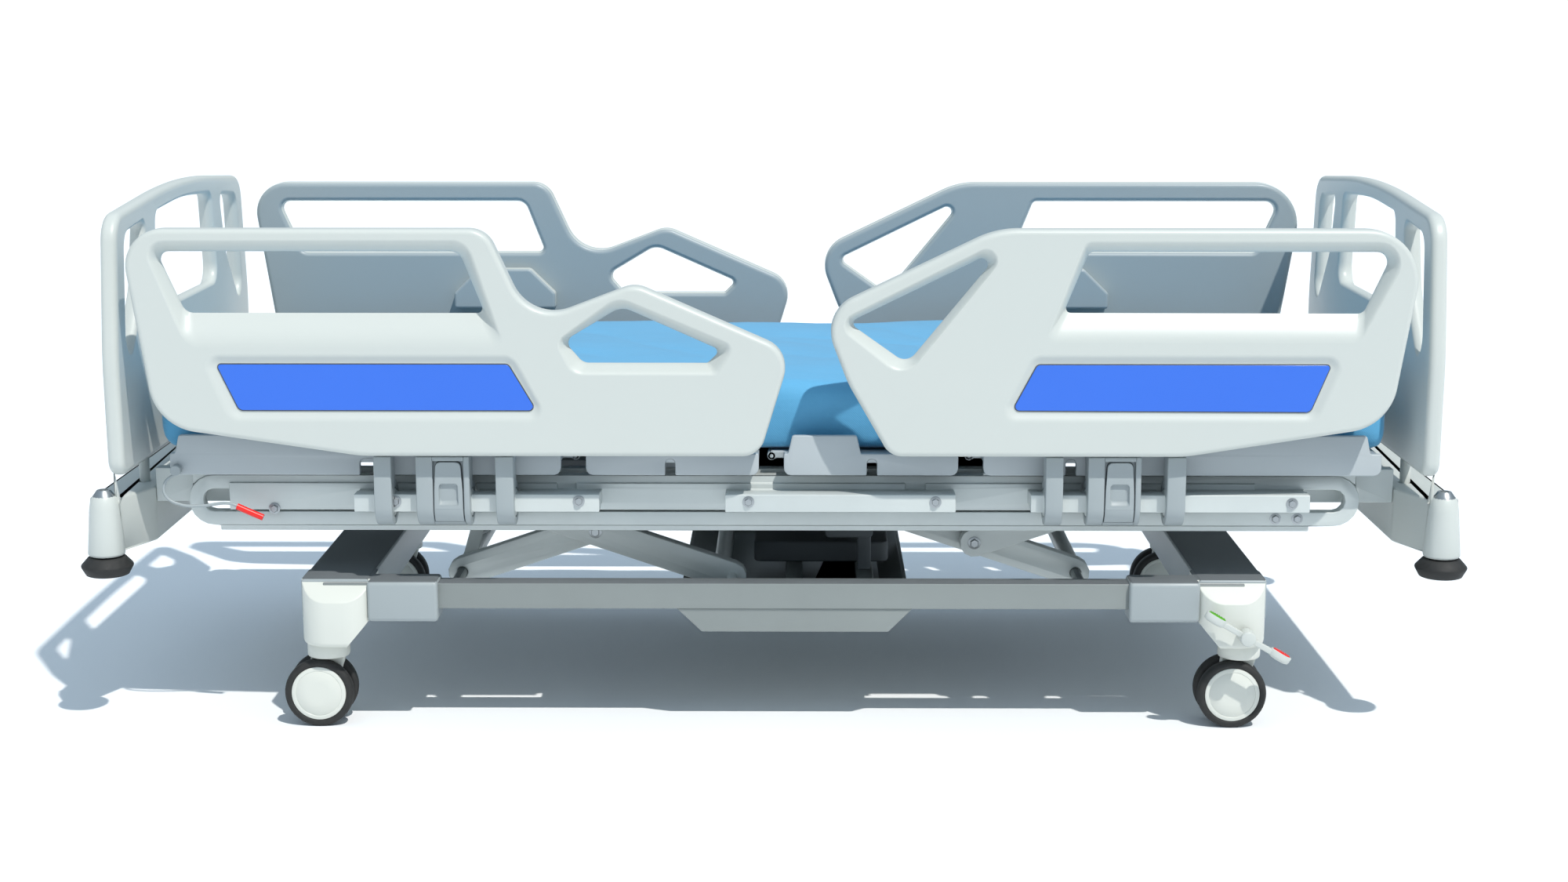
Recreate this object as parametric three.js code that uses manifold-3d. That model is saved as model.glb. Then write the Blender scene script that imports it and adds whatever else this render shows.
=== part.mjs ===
// An adjustable hospital bed on four twin castors. Millimetres, +X towards the foot, +Z up, floor at Z = 0.
// A crossed pair of lift arms under each end raises the frame level; the backrest, thigh and calf sections
// hinge on it; four half-length side rails swing down outside it; the head and foot boards lift off.
import * as THREE from "three";
import { mergeVertices } from "three/addons/utils/BufferGeometryUtils.js";
import Module from "manifold-3d";

const wasm = await Module();
wasm.setup();

// ---------- driving dimensions ----------
const GAP = 0.4; // between pieces that lie against each other
const RUNNING = 0.8; // between a pin and its hole

// side rails
const RAIL_OUTER = 500; // from the middle of the bed to a rail's outer face
const RAIL_THICK = 40;
const RAIL_TOP = 857;
const RAIL_BOTTOM = 483;
const HEAD_RAIL = [-1064, 31]; // ends along the bed
const FOOT_RAIL = [79, 1061];
const ARM_PIVOT = { y: 437, z: 394 }; // where the rail arms turn on the frame
const ARM_RING = 38; // outer radius of the ring at an arm's foot
const ARM_BORE = 24.6;
const ARM_LENGTH_Z = 176; // height of the rail's own pivot above the arm's
const RAIL_PIN = 7;
const STRAP_THICK = 24;
const HEAD_STRAPS = [[-662, -633], [-592, -503], [-460, -430]]; // the middle one carries the latch
const FOOT_STRAPS = [[452, 481], [522, 610], [653, 684]];

// mattress platform
const DECK_HALF = 425;
const DECK_BOTTOM = 437;
const DECK_TOP = 470;
const DECK_SHEET = 12;
const LIP_TOP = 505;
const HINGE_Z = 462;
const BACK_HINGE = -335;
const THIGH_HINGE = -3;
const CALF_HINGE = 331;
const DECK_HEAD_END = -1012;
const DECK_FOOT_END = 1018;
const HINGE_GAP = 21; // from a hinge line to the side panel on each side of it
const BACK_FOLD = 33; // degrees cut from each mattress block at the backrest hinge
const THIGH_FOLD = 16;

// mattress
const MATTRESS_THICK = 128;
const MATTRESS_HALF = DECK_HALF - 14;
const MATTRESS_SPLIT = 4; // half of the gap between two blocks at their hinge line
const MATTRESS_ENDS = [-1056, 1058];

// upper frame
const FRAME_TOP = 434;
const INNER_BEAM = { y: 337.5, width: 25, bottom: 376, end: 1057.5 };
const LOOP = { y: 376.5, width: 25, tube: 24, bottom: 343, end: 992, corner: 62 };
const CROSS_X = [-965, -760, -420, -100, 375, 745, 965];
const CROSS_WIDTH = 40;
const CROSS_BOTTOM = 406;
const SIDE_BAR = { y: 437, width: 32, bottom: 380, top: 410 };
const SIDE_BARS = [[-700, -290], [-80, 305], [430, 895]];
const SIDE_PLATES = [[-922, HEAD_STRAPS[1][0]], [HEAD_STRAPS[1][1], -366], [-334, 223],
  [257, FOOT_STRAPS[1][0]], [FOOT_STRAPS[1][1], 814]];

// lift
const LIFT_HALF = 250; // from an arm's end pivot to the crossing
const LIFT_Z = 235; // height of the pivots on the base
const LIFT_TOP = 395.3; // height of the pivots on the frame, as modelled
const LIFT_ANGLE = THREE.MathUtils.radToDeg(Math.asin((LIFT_TOP - LIFT_Z) / (2 * LIFT_HALF)));
const HEAD_LIFT_X = -546;
const FOOT_LIFT_X = 527;
const FOOT_CROSSING = 190; // from the foot arm's base pivot to its crossing
const ARM_DEPTH = 50;
const ARM_WIDTH = 28;
const OUTER_LANE = 301; // middle of the outer and inner pairs of lift arms, from the bed's middle
const INNER_LANE = 269;
const LIFT_PIN = 9;
const CRANK = 70;
const LIFT_RANGE = [-8, 41]; // degrees down and up from the modelled height
const CRANK_UPRIGHT = 16; // degrees of lift at which the lift cranks stand upright
const CRANK_LANE = 180;
const STRIP_X = [35, 160]; // cross strips on the base, under the lift motors

// section drives
const BACK_MAX = 65;
const THIGH_MAX = 30;
const SECTION_CRANK = 120;
const SECTION_LANE = 90; // backrest drive on the near side of the middle, thigh drive on the far side

// base and castors
const BEAM = { y: 415, width: 40, bottom: 209, top: 259 };
const CASTOR_X = [-761, 795];
const CASTOR_Y = 400;
const POD = { halfX: 60, outerY: 462, innerY: 345, bottom: 146, top: 258 };
const COVER_WALL = 5;
const WHEEL = { diameter: 118, width: 22, gap: 22, trail: 14, facets: 24 };
const COLLAR = { radius: 36, top: 145, bottom: 119 };
const STEM = { reach: 11, radius: 8, housing: 20 }; // a castor's stem, and the socket that it turns in
const BRAKE = { x: 793, z: 173, radius: 7 };

// ends
const BOARD = { x: 1090, thick: 28, bottom: 442, top: 893, half: 472 };
const BUMPER = { x: 1117, y: 455, radius: 43, rollerBottom: 273, rollerTop: 304, post: 8, housing: 25 };
const END_BEAM = { outer: 1140, inner: 1058, bottom: 308, top: 402 };
const BOARD_POST = { y: 300, radius: 9, depth: 70 };

// ---------- finishes ----------
const finish = (color, roughness, metalness = 0) =>
  new THREE.MeshStandardMaterial({ color, roughness, metalness });
const MOULDED = finish(0xdde5e5, 0.4);
const ARM_GREY = finish(0xa5acac, 0.45);
const DECK_GREY = finish(0xbcc2c4, 0.45);
const PAINTED = finish(0x969b9b, 0.5, 0.3);
const DARK = finish(0x3f4446, 0.6);
const STEEL = finish(0xb8bcbd, 0.3, 0.9);
const TYRE = finish(0x4a4745, 0.8);
const SHEET = finish(0x78bde8, 0.9);
const RED = finish(0xf81c14, 0.5);

// ---------- geometry helpers ----------
function solidOf(geometry) {
  const bare = geometry.index ? geometry.toNonIndexed() : geometry;
  const points = new THREE.BufferGeometry().setAttribute("position", bare.getAttribute("position"));
  const merged = mergeVertices(points, 1e-3);
  const triVerts = new Uint32Array(merged.index.array);
  const build = () =>
    new wasm.Manifold(new wasm.Mesh({ numProp: 3, vertProperties: merged.attributes.position.array,
      triVerts }));
  const solid = build();
  if (solid.volume() >= 0) return solid;
  for (let i = 0; i < triVerts.length; i += 3) [triVerts[i + 1], triVerts[i + 2]] = [triVerts[i + 2],
    triVerts[i + 1]];
  return build();
}

function geometryOf(solid) {
  const { numProp, vertProperties, triVerts } = solid.getMesh();
  const geometry = new THREE.BufferGeometry();
  const corners = new Float32Array(triVerts.length * 3);
  triVerts.forEach((v, i) => corners.set(vertProperties.subarray(v * numProp, v * numProp + 3), i * 3));
  geometry.setAttribute("position", new THREE.BufferAttribute(corners, 3));
  geometry.computeVertexNormals();
  return geometry;
}

const join = (...solids) => solids.flat().reduce((a, b) => a.add(b));
const cut = (solid, ...tools) => tools.flat().reduce((a, b) => a.subtract(b), solid);

function part(group, name, solid, material) {
  const mesh = new THREE.Mesh(geometryOf(solid), material);
  mesh.name = name;
  group.add(mesh);
  return mesh;
}

// A box between two opposite corners, given in any order.
function box(x0, x1, y0, y1, z0, z1) {
  const g = new THREE.BoxGeometry(Math.abs(x1 - x0), Math.abs(y1 - y0), Math.abs(z1 - z0));
  return solidOf(g.translate((x0 + x1) / 2, (y0 + y1) / 2, (z0 + z1) / 2));
}

// A round bar or bore along an axis, with a flat side towards -Z when it lies along Y.
function rod(axis, x, y, z, length, radius, sides = 16) {
  const g = new THREE.CylinderGeometry(radius, radius, length, sides, 1, false, Math.PI / sides);
  if (axis === "x") g.rotateZ(Math.PI / 2);
  if (axis === "z") g.rotateX(Math.PI / 2);
  return solidOf(g.translate(x, y, z));
}

// A solid of revolution about Z through (x, y), from a closed profile of [radius, height].
function turned(profile, x = 0, y = 0, sides = 20) {
  const g = new THREE.LatheGeometry(profile.map(([r, z]) => new THREE.Vector2(r, z)), sides);
  return solidOf(g.rotateX(Math.PI / 2).translate(x, y, 0));
}

// The outline through corners [u, v, radius], each rounded by an arc of its radius, with longer steps on
// small ones.
function rounded(corners) {
  const points = [];
  corners.forEach(([u, v, radius = 0], i) => {
    const here = new THREE.Vector2(u, v);
    const before = new THREE.Vector2(...corners.at(i - 1)).sub(here);
    const after = new THREE.Vector2(...corners[(i + 1) % corners.length]).sub(here);
    const inside = Math.acos(before.clone().normalize().dot(after.clone().normalize()));
    const reach = Math.min(radius / Math.tan(inside / 2), before.length() / 2.02, after.length() / 2.02);
    if (radius === 0) return points.push(here);
    const start = here.clone().addScaledVector(before.normalize(), reach);
    const end = here.clone().addScaledVector(after.normalize(), reach);
    const r = reach * Math.tan(inside / 2);
    const centre = here.clone().addScaledVector(before.clone().add(after).normalize(),
      r / Math.sin(inside / 2));
    const from = start.sub(centre).angle();
    let turn = end.sub(centre).angle() - from;
    if (turn > Math.PI) turn -= 2 * Math.PI;
    if (turn < -Math.PI) turn += 2 * Math.PI;
    const steps = Math.max(1, Math.ceil(Math.abs(THREE.MathUtils.radToDeg(turn)) / (radius < 30 ? 32 : 18)));
    for (let k = 0; k <= steps; k++) {
      const a = from + (turn * k) / steps;
      points.push(new THREE.Vector2(centre.x + r * Math.cos(a), centre.y + r * Math.sin(a)));
    }
  });
  return points;
}

// An outline in a plane, extruded along the plane's normal from one place to another.
const PLANES = {
  xy: [new THREE.Vector3(1, 0, 0), new THREE.Vector3(0, 1, 0), new THREE.Vector3(0, 0, 1)],
  yz: [new THREE.Vector3(0, 1, 0), new THREE.Vector3(0, 0, 1), new THREE.Vector3(1, 0, 0)],
  xz: [new THREE.Vector3(1, 0, 0), new THREE.Vector3(0, 0, 1), new THREE.Vector3(0, -1, 0)],
};
function prism(plane, outline, from, to) {
  const [u, v, w] = PLANES[plane];
  const start = plane === "xz" ? Math.max(from, to) : Math.min(from, to);
  const g = new THREE.ExtrudeGeometry(new THREE.Shape(outline),
    { depth: Math.abs(to - from), bevelEnabled: false });
  g.applyMatrix4(new THREE.Matrix4().makeBasis(u, v, w));
  const shift = plane === "xy" ? [0, 0, start] : plane === "yz" ? [start, 0, 0] : [0, start, 0];
  return solidOf(g.translate(...shift));
}

// A flat bar with round ends between two points of the XZ plane.
function strut(x0, z0, x1, z1, half, yFrom, yTo) {
  const along = new THREE.Vector2(x1 - x0, z1 - z0);
  const outline = rectangle(-half, along.length() + half, -half, half, half * 0.98);
  const turned = outline.map((p) => p.rotateAround(new THREE.Vector2(),
    along.angle()).add(new THREE.Vector2(x0, z0)));
  return prism("xz", turned, yFrom, yTo);
}

const rectangle = (u0, u1, v0, v1, r = 0) => rounded([[u0, v0, r], [u1, v0, r], [u1, v1, r], [u0, v1, r]]);
const radians = THREE.MathUtils.degToRad;
const SIDES = { near: -1, far: 1 };

const bed = new THREE.Group();

// ---------- base ----------
function baseFrame() {
  const beams = [-1, 1].map((s) =>
    box(CASTOR_X[0], CASTOR_X[1], s * (BEAM.y - BEAM.width / 2), s * (BEAM.y + BEAM.width / 2), BEAM.bottom,
      BEAM.top - 6),
  );
  const crossHalf = 25;
  const crosses = [CASTOR_X[0] + 25, CASTOR_X[1] - 25].map((x) =>
    box(x - crossHalf, x + crossHalf, -BEAM.y, BEAM.y, BEAM.bottom, BEAM.top - 8),
  );
  const middle = STRIP_X.map((x) => box(x - 15, x + 15, -BEAM.y, BEAM.y, BEAM.bottom, BEAM.bottom + 8));
  const pins = [-1, 1].flatMap((s) => {
    const inner = INNER_LANE - ARM_WIDTH / 2 - 4;
    const outer = BEAM.y - BEAM.width / 2 + 5;
    return [HEAD_LIFT_X, FOOT_LIFT_X].map((x) =>
      rod("y", x, (s * (inner + outer)) / 2, LIFT_Z, outer - inner, LIFT_PIN),
    );
  });
  const farEnd = HEAD_LIFT_X + 2 * LIFT_HALF;
  const ledges = [-1, 1].map((s) =>
    box(farEnd - 290, farEnd + 20, s * 345, s * (BEAM.y - BEAM.width / 2 + 1), BEAM.bottom,
      LIFT_Z - LIFT_PIN - GAP),
  );
  const socketLow = POD.bottom + GAP;
  const [sockets, stems] = [[STEM.housing, BEAM.bottom + 4],
    [STEM.radius + RUNNING, socketLow + STEM.reach]].map(([radius, high]) =>
    CASTOR_X.flatMap((x) =>
      [-1, 1].map((s) => rod("z", x, s * CASTOR_Y, (high + socketLow) / 2, high - socketLow, radius)),
    ),
  );
  const brakeHoles = [-1, 1].map((s) => rod("y", BRAKE.x, s * CASTOR_Y, BRAKE.z, 60, BRAKE.radius + RUNNING,
    12));
  return cut(join(beams, crosses, middle, pins, ledges, sockets), stems, brakeHoles);
}

// A moulded cover over one end of the base: a pod over each castor, a box over each beam's end and a bridge.
function baseCover(castorX, inward) {
  const beamEnd = castorX + inward * 195;
  const bridge = [castorX - inward * 38, castorX + inward * 78];
  const podX = [castorX - POD.halfX + inward * 22, castorX + POD.halfX + inward * 22];
  const shape = (grow, roof) =>
    join(
      box(bridge[0] + inward * grow, bridge[1] - inward * grow, -430, 430, grow ? 100 : 188,
        BEAM.top + 3 - roof),
      [-1, 1].flatMap((s) => [
        prism(
          "xy",
          rectangle(podX[0] + grow, podX[1] - grow, s * (POD.innerY + grow), s * (POD.outerY - grow),
            42 - grow),
          grow ? 100 : POD.bottom,
          POD.top - roof,
        ),
        box(castorX, beamEnd - inward * grow, s * (BEAM.y - 32 + grow), s * (BEAM.y + 32 - grow),
          grow ? 100 : 188, BEAM.top + 5 - roof),
      ]),
    );
  const beamSlots = [-1, 1].map((s) =>
    box(
      castorX + inward * 100,
      castorX + inward * 240,
      s * (BEAM.y - BEAM.width / 2 - GAP),
      s * (BEAM.y + BEAM.width / 2 + GAP),
      100,
      BEAM.top - 6 + GAP,
    ),
  );
  const shaftHoles = [-1, 1].map((s) => rod("y", BRAKE.x, s * 410, BRAKE.z, 150, BRAKE.radius + 2));
  return cut(shape(0, 0), shape(COVER_WALL, COVER_WALL), beamSlots, inward < 0 ? shaftHoles : []);
}

function baseTray() {
  const top = BEAM.bottom - GAP;
  const outline = rounded([[-163, top], [-121, top - 40, 4], [195, top - 40, 4], [235, top]]);
  const inner = rounded([[-157, top + 1], [-117, top - 37], [191, top - 37], [229, top + 1]]);
  return cut(prism("xz", outline, -432, 432), prism("xz", inner, -429, 429));
}

const base = new THREE.Group();
bed.add(base);
part(base, "base_frame", baseFrame(), PAINTED);
part(base, "base_cover_head", baseCover(CASTOR_X[0], 1), MOULDED);
part(base, "base_cover_foot", baseCover(CASTOR_X[1], -1), MOULDED);
part(base, "base_tray", baseTray(), PAINTED);
part(base, "control_box", prism("xy", rectangle(-38, 205, -130, 130, 14), BEAM.bottom + 8 + GAP, 255), DARK);

// ---------- brake ----------
const brake = new THREE.Group();
bed.add(brake);
const hubInner = POD.outerY + 2;
const hubOuter = RAIL_OUTER - 5;
part(brake, "brake_shaft", rod("y", BRAKE.x, 0, BRAKE.z, 2 * hubInner + 16, BRAKE.radius, 12), STEEL);
for (const [side, s] of Object.entries(SIDES)) {
  const hub = rod("y", BRAKE.x, (s * (hubInner + 2 + hubOuter)) / 2, BRAKE.z, hubOuter - hubInner - 2, 15);
  const bore = rod("y", BRAKE.x, s * (hubInner + 2), BRAKE.z, 16, BRAKE.radius + RUNNING, 12);
  const tilt = radians(30);
  const bar = strut(BRAKE.x - 62 * Math.cos(tilt), BRAKE.z + 62 * Math.sin(tilt),
    BRAKE.x + 50 * Math.cos(tilt),
    BRAKE.z - 50 * Math.sin(tilt), 9, s * (hubInner + 12), s * (hubOuter - 3));
  const pedal = cut(join(hub, bar), bore);
  part(brake, `brake_pedal_${side}`, pedal, ARM_GREY);
}

// ---------- castors ----------
// Each is modelled about its swivel line, with the wheels trailing towards the head.
const AXLE_Z = (WHEEL.diameter / 2) * Math.cos(Math.PI / WHEEL.facets);

function castorFork() {
  const web = WHEEL.gap / 2 - 2;
  const top = COLLAR.bottom + 2;
  const outline = rounded([[-30, top], [30, top], [14, 74, 10], [-WHEEL.trail, AXLE_Z - 16, 14],
    [-34, 78, 12]]);
  const body = join(
    rod("z", 0, 0, (COLLAR.top + COLLAR.bottom) / 2, COLLAR.top - COLLAR.bottom, COLLAR.radius, 24),
    rod("z", 0, 0, COLLAR.top + STEM.reach / 2, STEM.reach, STEM.radius, 12),
    prism("xz", outline, -web, web),
  );
  const axleHole = rod("y", -WHEEL.trail, 0, AXLE_Z, 60, 6 + RUNNING, 12);
  return cut(body, axleHole);
}

function castorWheels() {
  const middle = (WHEEL.gap + WHEEL.width) / 2;
  const wheels = [-1, 1].map((s) => rod("y", 0, s * middle, AXLE_Z, WHEEL.width, WHEEL.diameter / 2,
    WHEEL.facets));
  return join(wheels, rod("y", 0, 0, AXLE_Z, WHEEL.gap + 4, 6, 12));
}

for (const [end, x] of [["head", CASTOR_X[0]], ["foot", CASTOR_X[1]]]) {
  for (const [side, s] of Object.entries(SIDES)) {
    const castor = new THREE.Group();
    castor.position.set(x, s * CASTOR_Y, 0);
    bed.add(castor);
    part(castor, `castor_fork_${end}_${side}`, castorFork(), MOULDED);
    part(castor, `castor_wheels_${end}_${side}`, castorWheels(), TYRE).position.x = -WHEEL.trail;
  }
}

// ---------- lift arms ----------
// A pair of parallel bars from the origin along +X, tied together, with a pin or a bore at each pivot.
function liftArm({ lane, length, tie, bores = [], stubs = [] }) {
  const [start, end, half] = [-ARM_DEPTH / 2, length + ARM_DEPTH / 2, ARM_DEPTH / 2];
  const bar = rounded([[start, -half, half], [end, -half, half], [end, half, half], [start, half, half]]);
  const bars = [-1, 1].flatMap((s) => [
    prism("xz", bar, s * (lane - ARM_WIDTH / 2), s * (lane + ARM_WIDTH / 2)),
    ...stubs.map(([at, from, to]) => rod("y", at, (s * (from + to)) / 2, 0, Math.abs(to - from), LIFT_PIN)),
  ]);
  const holes = bores.flatMap((at) =>
    [-1, 1].map((s) => rod("y", at, s * lane, 0, ARM_WIDTH + 8, LIFT_PIN + RUNNING)),
  );
  return cut(join(bars, rod("y", tie, 0, 0, 2 * lane - ARM_WIDTH + 4, 15, 16)), holes);
}

// A lever from a tie tube, at an angle above the arm, with a pin for a push rod's eye in the given lane.
function liftCrank(degrees, y) {
  const a = radians(degrees);
  const [x, z] = [CRANK * Math.cos(a), CRANK * Math.sin(a)];
  const side = Math.sign(y);
  return join(strut(0, 0, x, z, 12, y + side * 12, y + side * 22), rod("y", x, y, z, 26, 6, 12));
}

// Puts a mesh's origin at (x, z) and turns it about Y so that its +X end rises.
function placed(mesh, x, z, degrees) {
  mesh.position.set(x, 0, z);
  mesh.rotation.y = -radians(degrees);
}

const lift = new THREE.Group();
bed.add(lift);
const crankAngle = 90 - CRANK_UPRIGHT - LIFT_ANGLE;
const headShort = liftArm({ lane: INNER_LANE, length: LIFT_HALF, tie: 0, bores: [LIFT_HALF] });
const headLong = liftArm({
  lane: OUTER_LANE,
  length: 2 * LIFT_HALF,
  tie: 2 * LIFT_HALF - 20,
  bores: [0],
  stubs: [
    [LIFT_HALF, INNER_LANE - ARM_WIDTH / 2, OUTER_LANE + 2],
    [2 * LIFT_HALF, OUTER_LANE, BEAM.y - BEAM.width / 2 - 8],
  ],
});
const footLong = liftArm({
  lane: INNER_LANE,
  length: 2 * LIFT_HALF,
  tie: 0,
  bores: [FOOT_CROSSING],
  stubs: [[2 * LIFT_HALF, INNER_LANE, INNER_BEAM.y - INNER_BEAM.width / 2 - 4]],
});
const footShortLength = 2 * LIFT_HALF - FOOT_CROSSING;
const footShort = liftArm({
  lane: OUTER_LANE,
  length: footShortLength,
  tie: footShortLength - 60,
  stubs: [
    [0, INNER_LANE - ARM_WIDTH / 2, OUTER_LANE + 2],
    [footShortLength, OUTER_LANE, INNER_BEAM.y + INNER_BEAM.width / 2],
  ],
});
const basePivot = [-1, 1].map((s) => rod("y", 0, s * INNER_LANE, 0, ARM_WIDTH + 8, LIFT_PIN + RUNNING));
const headShortArm = cut(join(headShort, liftCrank(crankAngle, -CRANK_LANE)), basePivot);
const footLongArm = cut(join(footLong, liftCrank(-crankAngle, CRANK_LANE)), basePivot);
const crossX = FOOT_LIFT_X - FOOT_CROSSING * Math.cos(radians(LIFT_ANGLE));
const crossZ = LIFT_Z + FOOT_CROSSING * Math.sin(radians(LIFT_ANGLE));
placed(part(lift, "lift_arm_head_short", headShortArm, PAINTED), HEAD_LIFT_X, LIFT_Z, LIFT_ANGLE);
placed(part(lift, "lift_arm_head_long", headLong, PAINTED), HEAD_LIFT_X, LIFT_TOP, -LIFT_ANGLE);
placed(part(lift, "lift_arm_foot_long", footLongArm, PAINTED), FOOT_LIFT_X, LIFT_Z, 180 - LIFT_ANGLE);
placed(part(lift, "lift_arm_foot_short", footShort, PAINTED), crossX, crossZ, LIFT_ANGLE);

// ---------- actuators ----------
// A motor housing and its tube, lying along X; the rod slides in the tube and ends in a slotted eye.
const MOTOR = { length: 85, half: 23, tube: 15, rod: 9, engaged: 140 };

function motor(tubeEnd, motorEnd, y, z, mount) {
  const d = Math.sign(tubeEnd - motorEnd);
  const housingEnd = motorEnd + d * MOTOR.length;
  const housing = prism("xz", rectangle(motorEnd, housingEnd, z - MOTOR.half, z + MOTOR.half, 8),
    y - MOTOR.half, y + MOTOR.half);
  const tube = rod("x", (tubeEnd + motorEnd) / 2, y, z, Math.abs(tubeEnd - motorEnd), MOTOR.tube, 16);
  const bore = rod("x", tubeEnd - d * MOTOR.engaged, y, z, 2 * MOTOR.engaged + 60,
    MOTOR.rod + RUNNING + 0.6, 16);
  return cut(join(housing, tube, mount), bore);
}

function pushRod(eye, tubeEnd, y, z, slot) {
  const d = Math.sign(tubeEnd - eye);
  const inside = tubeEnd + d * MOTOR.engaged;
  const bar = rod("x", (eye + inside) / 2, y, z, Math.abs(inside - eye), MOTOR.rod, 16);
  const head = prism("xz", rectangle(eye - 18, eye + 18, z - slot - 15, z + slot + 15, 12), y - 8, y + 8);
  const hole = prism("xz", rectangle(eye - 10.5, eye + 10.5, z - slot - 8, z + slot + 8, 8), y - 12, y + 12);
  return cut(join(bar, head), hole);
}

const drives = new THREE.Group();
bed.add(drives);
const pinShift = CRANK * Math.sin(radians(CRANK_UPRIGHT));
const pinZ = LIFT_Z + CRANK * Math.cos(radians(CRANK_UPRIGHT));
const LIFT_DRIVES = [
  { end: "head", y: -CRANK_LANE, eye: HEAD_LIFT_X + pinShift, tubeEnd: -300, motorEnd: 175,
    strip: STRIP_X[1] },
  { end: "foot", y: CRANK_LANE, eye: FOOT_LIFT_X - pinShift, tubeEnd: 190, motorEnd: -25,
    strip: STRIP_X[0] },
];
for (const { end, y, eye, tubeEnd, motorEnd, strip } of LIFT_DRIVES) {
  const stand = box(strip - 12, strip + 12, y - 10, y + 10, BEAM.bottom + 8 + GAP, pinZ - MOTOR.half + 2);
  part(drives, `lift_motor_${end}`, motor(tubeEnd, motorEnd, y, pinZ, stand), DARK);
  part(drives, `lift_rod_${end}`, pushRod(eye, tubeEnd, y, pinZ, 5), STEEL);
}
const backPin = SECTION_CRANK * Math.sin(radians(BACK_MAX / 2));
const backRodZ = HINGE_Z - SECTION_CRANK * (1 + Math.cos(radians(BACK_MAX / 2))) / 2;
const thighPin = SECTION_CRANK * Math.sin(radians(THIGH_MAX / 2));
const thighRodZ = HINGE_Z - SECTION_CRANK * (1 + Math.cos(radians(THIGH_MAX / 2))) / 2;
const SECTION_DRIVES = [
  { name: "back", y: -SECTION_LANE, z: backRodZ, eye: BACK_HINGE + backPin, tubeEnd: -150, motorEnd: 395,
    slot: 12 },
  { name: "knee", y: SECTION_LANE, z: thighRodZ, eye: THIGH_HINGE - thighPin, tubeEnd: -165, motorEnd: -440,
    slot: 5 },
];
for (const { name, y, z, eye, tubeEnd, motorEnd, slot } of SECTION_DRIVES) {
  const d = Math.sign(tubeEnd - motorEnd);
  const hanger = box(motorEnd + d * 6, motorEnd + d * 34, y - 10, y + 10, z, CROSS_BOTTOM - GAP);
  part(drives, `${name}_motor`, motor(tubeEnd, motorEnd, y, z, hanger), DARK);
  part(drives, `${name}_rod`, pushRod(eye, tubeEnd, y, z, slot), STEEL);
}

// ---------- upper frame ----------
// The stretches of a bar that its straps leave free.
function between(straps, [from, to]) {
  const edges = [from, ...straps.flatMap(([a, b]) => [a - 5, b + 5]), to];
  const pairs = edges.flatMap((edge, i) => (i % 2 ? [] : [[edge, edges[i + 1]]]));
  return pairs.filter(([a, b]) => b - a > 4);
}

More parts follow.
